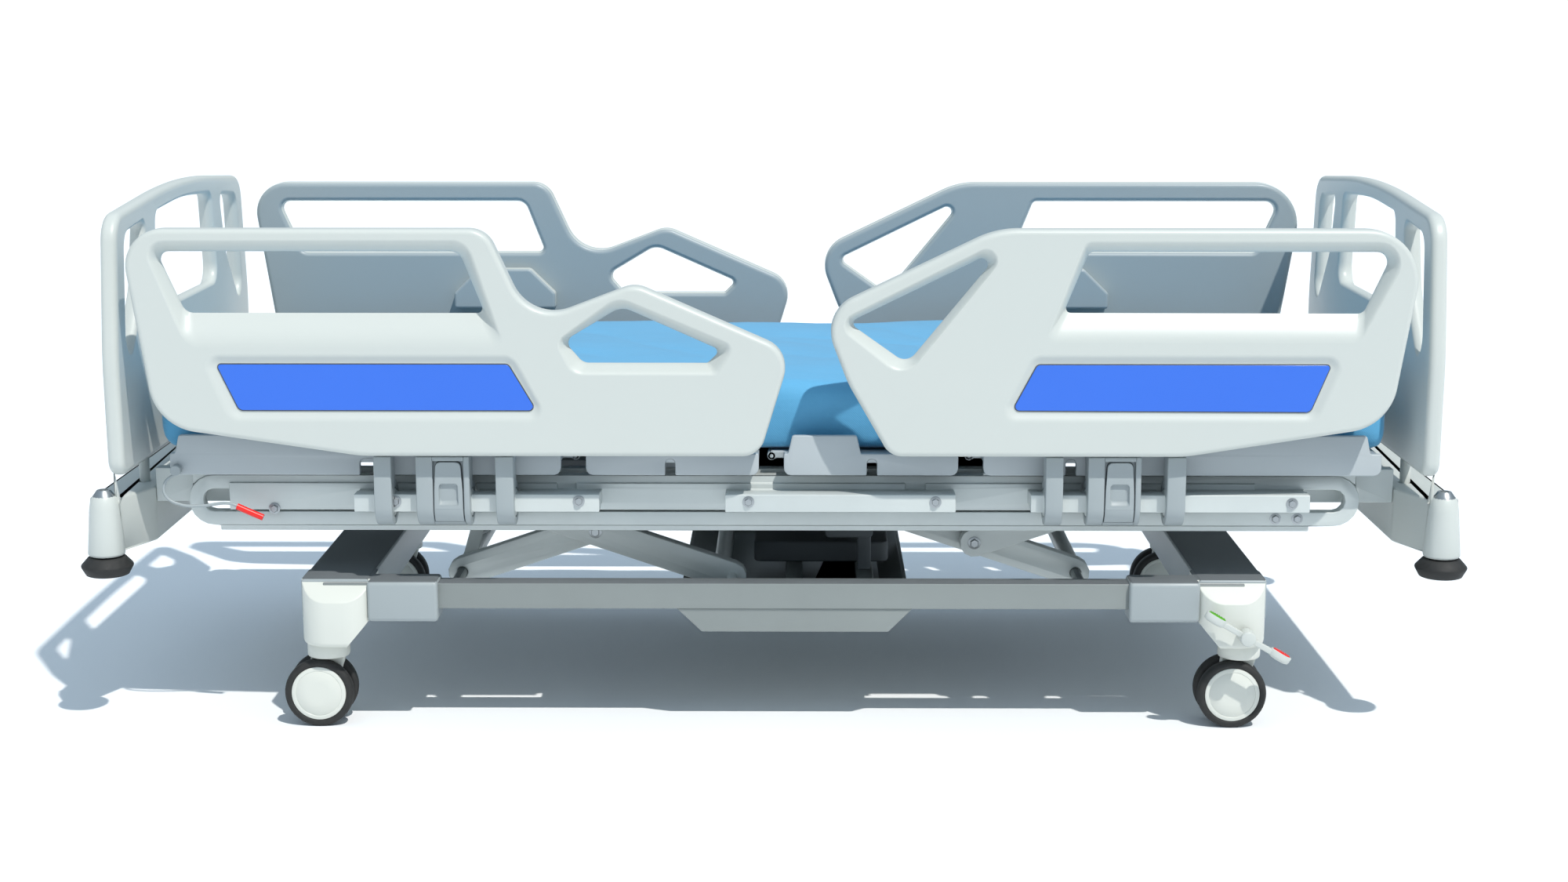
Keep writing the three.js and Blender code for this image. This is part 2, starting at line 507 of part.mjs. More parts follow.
function upperFrame() {
  const [innerFace, outerFace] = [INNER_BEAM.y - INNER_BEAM.width / 2, INNER_BEAM.y + INNER_BEAM.width / 2];
  const [loopIn, loopOut] = [LOOP.y - LOOP.width / 2, LOOP.y + LOOP.width / 2];
  const slotX = LIFT_RANGE.map(
    (turn) => FOOT_LIFT_X + (footShortLength - FOOT_CROSSING) * Math.cos(radians(LIFT_ANGLE + turn)),
  );
  const rollerX = LIFT_RANGE.map((turn) => FOOT_LIFT_X - 2 * LIFT_HALF *
    Math.cos(radians(LIFT_ANGLE + turn)));
  const pieces = CROSS_X.map((x) =>
    box(x - CROSS_WIDTH / 2, x + CROSS_WIDTH / 2, -loopOut + 1, loopOut - 1, CROSS_BOTTOM, FRAME_TOP),
  );
  for (const s of [-1, 1]) {
    const beam = box(-INNER_BEAM.end, INNER_BEAM.end, s * innerFace, s * outerFace, INNER_BEAM.bottom,
      FRAME_TOP);
    const slot = rounded([
      [slotX[1] - 13, LIFT_TOP - 11, 10],
      [slotX[0] + 13, LIFT_TOP - 11, 10],
      [slotX[0] + 13, LIFT_TOP + 11, 10],
      [slotX[1] - 13, LIFT_TOP + 11, 10],
    ]);
    pieces.push(
      cut(beam, prism("xz", slot, s * (innerFace - 5), s * (outerFace + 5))),
      rod("y", HEAD_LIFT_X, (s * (OUTER_LANE - ARM_WIDTH / 2 - 3 + INNER_BEAM.y)) / 2, LIFT_TOP,
        INNER_BEAM.y - OUTER_LANE + ARM_WIDTH / 2 + 3, LIFT_PIN),
      box(rollerX[0] - 18, rollerX[1] + 18, s * (innerFace - 24), s * (innerFace + 1), INNER_BEAM.bottom,
        LIFT_TOP - LIFT_PIN - 2),
      cut(
        prism("xz", rectangle(-LOOP.end, LOOP.end, LOOP.bottom, FRAME_TOP - 4, LOOP.corner * 0.69),
          s * loopIn, s * loopOut),
        prism("xz",
          rectangle(-LOOP.end + LOOP.tube, LOOP.end - LOOP.tube, LOOP.bottom + LOOP.tube, CROSS_BOTTOM, 18),
          s * (loopIn - 5), s * (loopOut + 5)),
      ),
      box(-940, 908, s * (loopIn + 4), s * (loopOut - 1), LOOP.bottom - 9, LOOP.bottom + 2),
    );
    // clear of the latches, which swing in here when a rail is down
    for (const [from, to] of SIDE_PLATES) {
      pieces.push(box(from, to, s * (loopOut - 1), s * (loopOut + 5), 371, 417));
    }
    for (const [bar, straps] of [[SIDE_BARS[0], HEAD_STRAPS], [SIDE_BARS[1], []],
      [SIDE_BARS[2], FOOT_STRAPS]]) {
      const barIn = SIDE_BAR.y - SIDE_BAR.width / 2;
      pieces.push(box(bar[0], bar[1], s * barIn, s * (SIDE_BAR.y + SIDE_BAR.width / 2), SIDE_BAR.bottom,
        SIDE_BAR.top));
      for (const [from, to] of between(straps, bar)) {
        pieces.push(box(from, to, s * (loopOut - 1), s * (barIn + 1), SIDE_BAR.bottom + 3,
          SIDE_BAR.top - 3));
      }
      for (const [from, to] of straps) {
        pieces.push(rod("x", (from + to) / 2, s * ARM_PIVOT.y, ARM_PIVOT.z, to - from,
          ARM_BORE - RUNNING - 0.4, 12));
      }
    }
  }
  return join(pieces);
}

// The beam across one end, with a bumper housing at each corner and sockets for the board's posts.
function endBeam() {
  const taper = BUMPER.y - 15;
  const plan = [
    [-END_BEAM.outer, -BUMPER.y, 8], [-END_BEAM.outer, BUMPER.y, 8], [-BUMPER.x + 23, BUMPER.y],
    [-BUMPER.x + 23, taper, 20], [-END_BEAM.inner, INNER_BEAM.y + 14, 30],
      [-END_BEAM.inner, -INNER_BEAM.y - 14, 30],
    [-BUMPER.x + 23, -taper, 20], [-BUMPER.x + 23, -BUMPER.y],
  ];
  const beam = prism("xy", rounded(plan), END_BEAM.bottom, END_BEAM.top);
  const low = END_BEAM.bottom - 2;
  const housing = [[0, low], [BUMPER.housing + 6, low], [BUMPER.housing, 385], [22, 404], [11, 415],
    [0, 415]];
  const corners = [-1, 1].flatMap((s) => [
    turned(housing, -BUMPER.x, s * BUMPER.y),
    rod("z", -BUMPER.x, s * BUMPER.y, (low + BUMPER.rollerBottom) / 2 + 2, low - BUMPER.rollerBottom,
      BUMPER.post, 16),
  ]);
  const sockets = [-1, 1].map((s) =>
    rod("z", -BOARD.x, s * BOARD_POST.y, END_BEAM.top, 2 * BOARD_POST.depth + 4,
      BOARD_POST.radius + RUNNING, 16),
  );
  return cut(join(beam, corners), sockets);
}

function bumperRoller() {
  const { radius, rollerBottom: low, rollerTop: high } = BUMPER;
  const bore = BUMPER.post + RUNNING;
  return turned([[bore, low], [35, low], [radius, low + 16], [30, high], [bore, high], [bore, low]], 0, 0,
    24);
}

const frame = new THREE.Group();
bed.add(frame);
part(frame, "upper_frame", upperFrame(), PAINTED);
for (const [end, s] of [["head", -1], ["foot", 1]]) {
  part(frame, `end_beam_${end}`, endBeam(), MOULDED).rotation.z = s < 0 ? 0 : Math.PI;
  for (const [side, t] of Object.entries(SIDES)) {
    part(frame, `bumper_roller_${end}_${side}`, bumperRoller(), TYRE).position.set(s * BUMPER.x,
      t * BUMPER.y, 0);
  }
}

// ---------- head and foot boards ----------
function board() {
  const { bottom, top, half } = BOARD;
  const outline = rounded([
    [-half, bottom, 28], [-half - 6, 640, 400], [-half + 26, top - 20, 52], [0, top + 13, 3000],
    [half - 26, top - 20, 52], [half + 6, 640, 400], [half, bottom, 28],
  ]);
  const windows = [
    rounded([[-222, 690, 30], [222, 690, 30], [198, top - 36, 22], [0, top - 25, 1500],
      [-198, top - 36, 22]]),
    ...[-1, 1].map((s) => rounded([[s * 268, 850, 14], [s * 398, 838, 30], [s * 418, 660, 60],
      [s * 392, 636, 14], [s * 300, 740, 80]])),
  ];
  const panel = cut(
    prism("yz", outline, -BOARD.thick / 2, BOARD.thick / 2),
    windows.map((w) => prism("yz", w, -BOARD.thick, BOARD.thick)),
  );
  const post = BOARD_POST.depth + bottom - END_BEAM.top;
  return join(panel, [-1, 1].map((s) => rod("z", 0, s * BOARD_POST.y, bottom + 2 - post / 2, post,
    BOARD_POST.radius, 16)));
}
part(frame, "headboard", board(), MOULDED).position.x = -BOARD.x;
part(frame, "footboard", board(), MOULDED).position.x = BOARD.x;

// ---------- mattress platform ----------
// One section: its sheet, a panel down each side with chamfered feet, a raised lip and small cable notches.
function deckSection([from, to], { lip, notches = [] }) {
  const corner = 12;
  const side = rounded([
    [from, DECK_BOTTOM, corner], [to, DECK_BOTTOM, corner], [to, DECK_TOP + 4, 3], [from, DECK_TOP + 4, 3],
  ]);
  const raised = lip && rounded([
    [lip[0], DECK_TOP], [lip[1], DECK_TOP], [lip[1] - 8, LIP_TOP, 5], [lip[0] + 8, LIP_TOP, 5],
  ]);
  const cuts = notches.map(([a, b]) => rectangle(a, b, DECK_BOTTOM - 8, DECK_BOTTOM + 28, 7.5));
  const wall = DECK_HALF - MATTRESS_HALF - 2; // clear of the mattress
  const sides = [-1, 1].flatMap((s) => {
    const [a, b] = [s * (DECK_HALF - wall), s * DECK_HALF];
    const panel = cut(prism("xz", side, a, b), cuts.map((c) => prism("xz", c, a - s * 3, b + s * 3)));
    return raised ? [panel, prism("xz", raised, a, b)] : [panel];
  });
  return join(box(from, to, -DECK_HALF + 3, DECK_HALF - 3, DECK_TOP - DECK_SHEET, DECK_TOP), sides);
}

const KNUCKLES = [-360, -120, 120, 360];
const HINGE_PIN = 3.5;
const KNUCKLE = 7.6;
// The knuckles of a section that turns on a neighbour's pin, reaching towards that pin from one side.
function knuckles(hingeX, direction) {
  const ring = KNUCKLES.flatMap((y) => [
    rod("y", hingeX, y, HINGE_Z, 40, KNUCKLE, 12),
    box(hingeX, hingeX + direction * (HINGE_GAP + 6), y - 20, y + 20, DECK_TOP - DECK_SHEET, DECK_TOP),
  ]);
  return ring;
}
const hingeBore = (hingeX) => KNUCKLES.map((y) => rod("y", hingeX, y, HINGE_Z, 48, HINGE_PIN + RUNNING, 8));
// The pin, held by lugs that reach out to it from the other section.
function hingePin(hingeX, direction) {
  const lugs = [-240, 0, 240].map((y) =>
    box(hingeX - direction * 6, hingeX + direction * (HINGE_GAP + 6), y - 25, y + 25, HINGE_Z - 6,
      HINGE_Z + 6),
  );
  return [rod("y", hingeX, 0, HINGE_Z, 2 * 385, HINGE_PIN, 8), ...lugs];
}

// A lever down from a hinge, with a pin for a push rod's eye in the given lane.
function sectionCrank(hingeX, degrees, y) {
  const [x, z] = [hingeX + SECTION_CRANK * Math.sin(radians(degrees)),
    HINGE_Z - SECTION_CRANK * Math.cos(radians(degrees))];
  const side = Math.sign(y);
  const root = rod("y", hingeX, y + side * 17, HINGE_Z, 10, KNUCKLE, 12);
  return [root, strut(hingeX, HINGE_Z, x, z, KNUCKLE, y + side * 12, y + side * 22),
    rod("y", x, y + side * 2, z, 30, 6, 12)];
}

const deck = new THREE.Group();
bed.add(deck);
const backSection = deckSection([DECK_HEAD_END, BACK_HINGE - HINGE_GAP],
  { lip: [-1004, -700], notches: [[-693, -664]] });
const seatSection = deckSection([BACK_HINGE + HINGE_GAP, THIGH_HINGE - HINGE_GAP],
  { notches: [[-181, -164]] });
const thighSection = deckSection([THIGH_HINGE + HINGE_GAP, CALF_HINGE - HINGE_GAP],
  { lip: [24, 148], notches: [[157, 174]] });
const calfSection = deckSection([CALF_HINGE + HINGE_GAP, DECK_FOOT_END],
  { lip: [700, 1000], notches: [[490, 507], [676, 690]] });
const crankBore = (hingeX, y) => rod("y", hingeX, y + Math.sign(y) * 17, HINGE_Z, 16, HINGE_PIN + RUNNING,
  8);
const seatFeet = [-1, 1].map((s) =>
  box(BACK_HINGE + HINGE_GAP + 10, THIGH_HINGE - HINGE_GAP - 10, s * 326, s * 349, FRAME_TOP + GAP,
    DECK_TOP - 4),
);
const backDeck = join(
  backSection,
  knuckles(BACK_HINGE, -1),
  sectionCrank(BACK_HINGE, BACK_MAX / 2, -SECTION_LANE),
  box(BACK_HINGE - HINGE_GAP - 6, BACK_HINGE, -SECTION_LANE - 22, -SECTION_LANE - 12, DECK_TOP - DECK_SHEET,
    DECK_TOP),
);
part(deck, "backrest_deck", cut(backDeck, hingeBore(BACK_HINGE), crankBore(BACK_HINGE, -SECTION_LANE)),
  DECK_GREY);
part(deck, "seat_deck", join(seatSection, hingePin(BACK_HINGE, 1), hingePin(THIGH_HINGE, -1), seatFeet),
  DECK_GREY);
const thighDeck = join(
  thighSection,
  knuckles(THIGH_HINGE, 1),
  sectionCrank(THIGH_HINGE, -THIGH_MAX / 2, SECTION_LANE),
  box(THIGH_HINGE, THIGH_HINGE + HINGE_GAP + 6, SECTION_LANE + 12, SECTION_LANE + 22, DECK_TOP - DECK_SHEET,
    DECK_TOP),
  hingePin(CALF_HINGE, -1),
);
part(deck, "thigh_deck", cut(thighDeck, hingeBore(THIGH_HINGE), crankBore(THIGH_HINGE, SECTION_LANE)),
  DECK_GREY);
part(deck, "calf_deck", cut(join(calfSection, knuckles(CALF_HINGE, 1)), hingeBore(CALF_HINGE)), DECK_GREY);

// The release lever hanging under each side of the backrest: a boss, a bent wire and a grip.
const LEVER = { x: -1000, y: ARM_PIVOT.y - 3, z: 447, wire: 2.6, grip: 5.5 };
for (const [side, s] of Object.entries(SIDES)) {
  const y = s * LEVER.y;
  const wire = [[-1003, 440], [-1020, 424], [-1019, 403], [-995, 388], [-960, 386], [-912, 390],
    [-898, 384]];
  const grip = [[-900, 385.2], [-880, 376], [-857, 366]];
  const along = (points, radius) => {
    const path = new THREE.CatmullRomCurve3(points.map(([x, z]) => new THREE.Vector3(x, y, z)));
    const section = new THREE.Shape([0, 60, 120, 180, 240,
      300].map((a) => new THREE.Vector2(radius, 0).rotateAround(new THREE.Vector2(), radians(a))));
    return solidOf(new THREE.ExtrudeGeometry(section,
      { steps: points.length * 2, extrudePath: path, bevelEnabled: false }));
  };
  const boss = rod("y", LEVER.x, y, LEVER.z, 14, 9, 16);
  part(deck, `cpr_lever_${side}`, join(boss, along(wire, LEVER.wire), along(grip, LEVER.grip)), RED);
}

// ---------- mattress ----------
// One block for each section; the blocks lean away from each other where the platform folds upwards.
function mattressBlock([from, leanFrom], [to, leanTo]) {
  const low = DECK_TOP + GAP;
  const high = low + MATTRESS_THICK;
  const setBack = (degrees, z) => MATTRESS_SPLIT + (z - HINGE_Z) * Math.tan(radians(degrees));
  const outline = rounded([
    [from + setBack(leanFrom, low), low], [to - setBack(leanTo, low), low],
    [to - setBack(leanTo, high), high], [from + setBack(leanFrom, high), high],
  ]);
  return prism("xz", outline, -MATTRESS_HALF, MATTRESS_HALF);
}
const mattress = new THREE.Group();
bed.add(mattress);
part(mattress, "mattress_back", mattressBlock([MATTRESS_ENDS[0], 0], [BACK_HINGE, BACK_FOLD]), SHEET);
part(mattress, "mattress_seat", mattressBlock([BACK_HINGE, BACK_FOLD], [THIGH_HINGE, THIGH_FOLD]), SHEET);
part(mattress, "mattress_thigh", mattressBlock([THIGH_HINGE, THIGH_FOLD], [CALF_HINGE, 0]), SHEET);
part(mattress, "mattress_calf", mattressBlock([CALF_HINGE, 0], [MATTRESS_ENDS[1], 0]), SHEET);

// ---------- side rails ----------
const RAIL_PIVOT = { y: ARM_PIVOT.y + 8, z: ARM_PIVOT.z + ARM_LENGTH_Z };
const RAIL_INNER = RAIL_OUTER - RAIL_THICK;
const [headRailStart, headRailEnd] = HEAD_RAIL;
const [footRailStart, footRailEnd] = FOOT_RAIL;
const RAILS = {
  head: {
    straps: HEAD_STRAPS,
    outline: [
      [headRailStart + 3, RAIL_TOP, 62], [headRailEnd - 496, RAIL_TOP, 44],
        [headRailEnd - 426, RAIL_TOP - 154, 72],
      [headRailEnd - 255, RAIL_TOP - 89, 48], [headRailEnd, RAIL_TOP - 201, 48],
        [headRailEnd - 53, RAIL_BOTTOM, 38],
      [headRailEnd - 708, RAIL_BOTTOM, 200], [headRailStart + 51, RAIL_BOTTOM + 49, 85],
    ],
    windows: [
      [[-1005, RAIL_TOP - 38, 14], [-510, RAIL_TOP - 38, 22], [-471, RAIL_TOP - 139, 8],
        [-961, RAIL_TOP - 139, 20]],
      [[-342, 672, 14], [-247, 729, 32], [-85, 657, 8], [-107, 636, 8], [-311, 636, 20]],
    ],
  },
  foot: {
    straps: FOOT_STRAPS,
    outline: [
      [footRailStart, 720, 62], [footRailStart + 285, RAIL_TOP, 160], [footRailEnd, RAIL_TOP, 85],
      [footRailEnd - 50, RAIL_BOTTOM + 52, 85], [footRailEnd - 383, RAIL_BOTTOM, 200],
      [footRailStart + 114, RAIL_BOTTOM, 35], [footRailStart + 44, 605, 200],
    ],
    windows: [
      [[515, RAIL_TOP - 38, 10], [1009, RAIL_TOP - 38, 18], [964, RAIL_TOP - 139, 14],
        [475, RAIL_TOP - 138, 8]],
      [[377, 827, 10], [220, 635, 21], [124, 703, 9]],
    ],
  },
};

function railPanel({ outline, windows, straps }, s) {
  const panel = cut(
    prism("xz", rounded(outline), s * RAIL_INNER, s * RAIL_OUTER),
    windows.map((w) => prism("xz", rounded(w), s * (RAIL_INNER - 5), s * (RAIL_OUTER + 5))),
  );
  const [left, right] = [straps[0][0] + 10, straps[2][1] - 18];
  const low = RAIL_PIVOT.z + 36;
  const housing = prism("xz",
    [[left, low], [right, low], [right, low + 31], [right - 50, low + 80], [left + 50, low + 80],
      [left, low + 31]]
      .map(([x, z]) => new THREE.Vector2(x, z)),
    s * (RAIL_INNER - 28), s * (RAIL_INNER + 2));
  const lugs = [0, 1].map((i) => {
    const middle = (straps[i][1] + straps[i + 1][0]) / 2;
    return box(middle - 10, middle + 10, s * (RAIL_PIVOT.y - 13), s * (RAIL_INNER + 2), RAIL_PIVOT.z - 14,
      RAIL_PIVOT.z + 14);
  });
  const bore = rod("x", (straps[0][0] + straps[2][1]) / 2, s * RAIL_PIVOT.y, RAIL_PIVOT.z, 400,
    RAIL_PIN + RUNNING, 16);
  return join(panel, housing, lugs.map((lug) => cut(lug, bore)));
}

// The latch sits in the front of the middle strap and follows the ring round underneath.
const LATCH = { half: 24.5, bottom: 366, top: 470, thick: 8 };
function latchShape(straps, s, grow) {
  const middle = (straps[1][0] + straps[1][1]) / 2 + 9;
  const [x0, x1] = [middle - LATCH.half - grow, middle + LATCH.half + grow];
  const front = ARM_PIVOT.y + ARM_RING;
  const back = front - LATCH.thick - grow;
  const [low, high] = [LATCH.bottom - 4 * grow, LATCH.top + grow];
  const outer = grow
    ? box(x0, x1, s * (ARM_PIVOT.y + 12), s * (front + 5), low, high)
    : join(
        box(x0, x1, s * (ARM_PIVOT.y + 12), s * front, ARM_PIVOT.z, high),
        rod("x", middle, s * ARM_PIVOT.y, ARM_PIVOT.z, x1 - x0, ARM_RING, 24),
      ).intersect(box(x0, x1, s * (ARM_PIVOT.y + 12), s * (front + 5), low, high));
  return cut(
    outer,
    box(x0 - 5, x1 + 5, s * ARM_PIVOT.y, s * back, ARM_PIVOT.z, high + 5),
    rod("x", middle, s * ARM_PIVOT.y, ARM_PIVOT.z, x1 - x0 + 10, ARM_RING - LATCH.thick - grow, 24),
  );
}

function railArm(straps, s) {
  const front = ARM_PIVOT.y + ARM_RING;
  const pieces = straps.flatMap(([from, to]) => [
    rod("x", (from + to) / 2, s * ARM_PIVOT.y, ARM_PIVOT.z, to - from, ARM_RING, 24),
    box(from, to, s * ARM_PIVOT.y, s * front, ARM_PIVOT.z, RAIL_BOTTOM - 6),
    box(from, to, s * (RAIL_PIVOT.y - STRAP_THICK / 2), s * (RAIL_PIVOT.y + STRAP_THICK / 2),
      ARM_PIVOT.z + 26, RAIL_PIVOT.z),
    rod("x", (from + to) / 2, s * RAIL_PIVOT.y, RAIL_PIVOT.z, to - from, STRAP_THICK / 2, 12),
  ]);
  const [first, last] = [straps[0][0], straps[2][1]];
  const shaft = rod("x", (first + last) / 2, s * RAIL_PIVOT.y, RAIL_PIVOT.z, last - first, RAIL_PIN, 16);
  const bore = rod("x", (first + last) / 2, s * ARM_PIVOT.y, ARM_PIVOT.z, last - first + 10, ARM_BORE);
  return cut(join(cut(join(pieces), bore), shaft), latchShape(straps, s, 1));
}

const rails = new THREE.Group();
bed.add(rails);
for (const [end, rail] of Object.entries(RAILS)) {
  for (const [side, s] of Object.entries(SIDES)) {
    part(rails, `side_rail_${end}_${side}`, railPanel(rail, s), MOULDED);
    part(rails, `rail_arm_${end}_${side}`, railArm(rail.straps, s), ARM_GREY);
    part(rails, `rail_latch_${end}_${side}`, latchShape(rail.straps, s, 0), ARM_GREY);
  }
}

export default bed;
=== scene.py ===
"""An adjustable hospital bed: moulded rails and boards, lift frame, castors, mattress and its studio."""
import math

import bmesh
import bpy
from bpy.props import FloatProperty, FloatVectorProperty, IntProperty, PointerProperty
from bpy.types import Operator, Panel, PropertyGroup
from mathutils import Matrix, Vector, noise


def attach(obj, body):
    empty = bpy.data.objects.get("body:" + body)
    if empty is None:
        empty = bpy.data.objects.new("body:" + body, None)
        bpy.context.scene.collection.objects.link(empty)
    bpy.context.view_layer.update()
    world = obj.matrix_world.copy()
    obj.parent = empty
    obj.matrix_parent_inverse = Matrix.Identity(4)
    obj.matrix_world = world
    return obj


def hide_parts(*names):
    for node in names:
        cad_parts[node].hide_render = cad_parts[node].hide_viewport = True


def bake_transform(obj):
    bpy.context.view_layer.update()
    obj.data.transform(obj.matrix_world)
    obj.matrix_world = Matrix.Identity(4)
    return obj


bl_info = {
    "name": "Adjustable hospital bed",
    "version": (1, 0, 0),
    "blender": (4, 5, 0),
    "location": "3D View > Sidebar > Bed",
    "description": "Models the visible pieces of an adjustable hospital bed on its working frame",
    "category": "Object",
}

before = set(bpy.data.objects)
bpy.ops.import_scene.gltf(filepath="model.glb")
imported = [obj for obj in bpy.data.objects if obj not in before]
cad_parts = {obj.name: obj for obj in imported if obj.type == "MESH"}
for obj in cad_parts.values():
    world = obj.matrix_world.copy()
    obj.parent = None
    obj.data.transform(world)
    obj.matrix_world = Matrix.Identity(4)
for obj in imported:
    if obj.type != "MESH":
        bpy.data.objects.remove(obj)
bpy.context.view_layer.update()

MM = 0.001
SIDES = {"near": -1, "far": 1}
ENDS = {"head": -1, "foot": 1}


# ---------- sizes and colours ----------
def sized(name, description, default, low=0.0, high=2.0):
    """A length in metres, with the panel's unit."""
    return FloatProperty(name=name, description=description, default=default, min=low, max=high,
        unit="LENGTH",
                         precision=4)


def tinted(name, description, red, green, blue):
    """A colour given as 8-bit display values."""
    linear = [((c / 255 + 0.055) / 1.055) ** 2.4 if c > 10 else c / 255 / 12.92 for c in (red, green, blue)]
    return FloatVectorProperty(name=name, description=description, default=linear, min=0, max=1, size=3,
                               subtype="COLOR")


class BedSizes(PropertyGroup):
    """Sizes that a maker would change without touching the working frame."""
    panel_edge: sized("Panel edge", "Radius of a rail's outer edge", 0.0085, 0.002, 0.018)
    board_edge: sized("Board edge", "Radius of the edge of a head or foot board", 0.011, 0.002, 0.013)
    window_depth: sized("Window slope", "Depth over which a rail window narrows", 0.024, 0.005, 0.032)
    inlay_depth: sized("Inlay depth", "How far an inlay lies below the rail's face", 0.0035, 0.001, 0.008)
    fillet: sized("Frame edge", "Radius of the edges of bars and castings", 0.0016, 0.0, 0.004)
    cover_fillet: sized("Cover edge", "Radius of the edges of the moulded base covers", 0.010, 0.001, 0.02)
    bolt_head: sized("Bolt head", "Width of a hexagon bolt head across its corners", 0.0135, 0.006, 0.024)
    mattress_grain: sized("Mattress mesh", "Size of the mattress mesh before it is smoothed", 0.015, 0.01,
        0.04)
    mattress_swell: sized("Mattress swell", "Most that the cover may swell beyond its pattern", 0.012, 0.0,
        0.02)
    fold_depth: sized("Cover folds", "Depth of the folds in the loose cover", 0.007, 0.0, 0.015)
    inflation: FloatProperty(name="Inflation", description="Pressure that fills the mattress cover",
        default=4.0,
                             min=0, max=12)
    rounds: IntProperty(name="Round steps", description="Steps in the full turn of a round piece", default=56,
                        min=16, max=128)


class BedColours(PropertyGroup):
    """Finishes of the bed, as base colours."""
    moulded: tinted("Moulded white", "Rails, boards, end beams and pedals", 200, 204, 199)
    # Painted shade: a darker grey on the rails' inner faces, standing for the shade they lie in.
    lining: tinted("Painted inner shade grey", "Inner faces of the side rails", 157, 167, 170)
    cover: tinted("Cover white", "Castor covers, forks and wheel caps", 214, 216, 208)
    arm: tinted("Arm grey", "Rail arms, latches and cover sleeves", 158, 166, 168)
    deck: tinted("Deck grey", "Mattress platform", 176, 183, 186)
    bars: tinted("Frame grey", "Upper frame and lift arms", 206, 212, 210)
    painted: tinted("Painted steel", "Base and tray", 142, 148, 146)
    steel: tinted("Bare steel", "Rods, bolts and bumper cones", 176, 180, 182)
    # Besides the motors, control box and bearings, this finish is painted shade on the level tops of the base
    # covers and base beams.
    dark: tinted("Dark plastic and painted shade", "Motors, control box and cover tops", 96, 101, 104)
    tyre: tinted("Tyre", "Castor tyres and bumper rollers", 32, 32, 31)
    inlay: tinted("Inlay blue", "Inlays in the side rails", 38, 106, 220)
    sheet: tinted("Cover blue", "Mattress cover", 100, 177, 220)
    red: tinted("Signal red", "Release levers and brake pad", 236, 26, 18)
    green: tinted("Signal green", "Brake release pad", 96, 178, 26)
    floor: tinted("Floor", "Studio floor", 246, 248, 250)


def sizes():
    return bpy.context.scene.bed_sizes


def colours():
    return bpy.context.scene.bed_colours


# ---------- shader expressions ----------
class Signal:
    """One output socket; arithmetic on it adds the Math nodes."""

    def __init__(self, finish, socket):
        self.finish = finish
        self.socket = socket

    def _math(self, operation, first, second=None):
        inputs = {0: first} if second is None else {0: first, 1: second}
        return self.finish.node("ShaderNodeMath", {"operation": operation}, inputs)

    def __add__(self, other):
        return self._math("ADD", self, other)

    def __radd__(self, other):
        return self._math("ADD", other, self)

    def __sub__(self, other):
        return self._math("SUBTRACT", self, other)

    def __rsub__(self, other):
        return self._math("SUBTRACT", other, self)

    def __mul__(self, other):
        return self._math("MULTIPLY", self, other)

    def __rmul__(self, other):
        return self._math("MULTIPLY", other, self)

    def __abs__(self):
        return self._math("ABSOLUTE", self)

    def above(self, limit):
        return self._math("GREATER_THAN", self, limit)


class Finish:
    """A material under construction, with one method that adds any node."""

    def __init__(self, name, **constants):
        self.material = bpy.data.materials.new(name)
        self.material.use_nodes = True
        self.tree = self.material.node_tree
        self.shader = self.tree.nodes["Principled BSDF"]
        for socket, value in constants.items():
            self.shader.inputs[socket.replace("_", " ")].default_value = value
        self.place = self.node("ShaderNodeTexCoord", output="Object")

    def node(self, kind, settings=None, inputs=None, output=0):
        made = self.tree.nodes.new(kind)
        for key, value in (settings or {}).items():
            if key == "stops":
                ramp = made.color_ramp.elements
                while len(ramp) < len(value):
                    ramp.new(0.5)
                for element, (position, shade) in zip(ramp, value):
                    element.position = position
                    element.color = (shade, shade, shade, 1)
            else:
                setattr(made, key, value)
        for key, value in (inputs or {}).items():
            self.join(made.inputs[key], value)
        return Signal(self, made.outputs[output])

    def join(self, socket, value):
        if isinstance(value, Signal):
            self.tree.links.new(value.socket, socket)
        else:
            socket.default_value = value

    def noise(self, scale, detail=2.0, roughness=0.5, place=None):
        return self.node(
            "ShaderNodeTexNoise",
            {"noise_dimensions": "3D"},
            {"Vector": place or self.place, "Scale": scale, "Detail": detail, "Roughness": roughness},
        )

    def ramp(self, signal, *stops):
        return self.node("ShaderNodeValToRGB", {"stops": stops}, {"Fac": signal})

    def stretched(self, x, y, z):
        return self.node("ShaderNodeMapping", None, {"Vector": self.place, "Scale": (x, y, z)})

    def shaded(self, colour, factor, amount):
        """The base colour, darkened by amount where factor is 1."""
        light = (*colour, 1.0)
        dark = (*[c * (1 - amount) for c in colour], 1.0)
        self.mixed(light, dark, factor)

    def mixed(self, first, second, factor):
        settings = {"data_type": "RGBA", "blend_type": "MIX"}
        made = self.node("ShaderNodeMix", settings, {0: factor, 6: first, 7: second}, output=2)
        self.join(self.shader.inputs["Base Color"], made)
        return made

    def rough(self, value):
        self.join(self.shader.inputs["Roughness"], value)

    def bump(self, height, strength, distance):
        inputs = {"Height": height, "Strength": strength, "Distance": distance}
        self.join(self.shader.inputs["Normal"], self.node("ShaderNodeBump", None, inputs, output="Normal"))


def moulded_plastic(name, colour, gloss=0.36, grain=0.05):
    """Injection moulding: a fine spark-eroded grain, faint flow marks and a little handling wear."""
    finish = Finish(name, Coat_Weight=0.12, Coat_Roughness=0.25, IOR=1.49)
    flow = finish.noise(2.3, 4)
    scuffs = finish.ramp(finish.noise(38, 6, 0.7, finish.stretched(1, 1, 3)), (0.60, 0), (0.74, 1))
    finish.shaded(colour, flow * 0.6 + scuffs * 0.25, 0.055)
    finish.rough(gloss + flow * 0.10 + scuffs * 0.14)
    finish.bump(finish.noise(1500, 2), grain, 0.0004)
    return finish.material


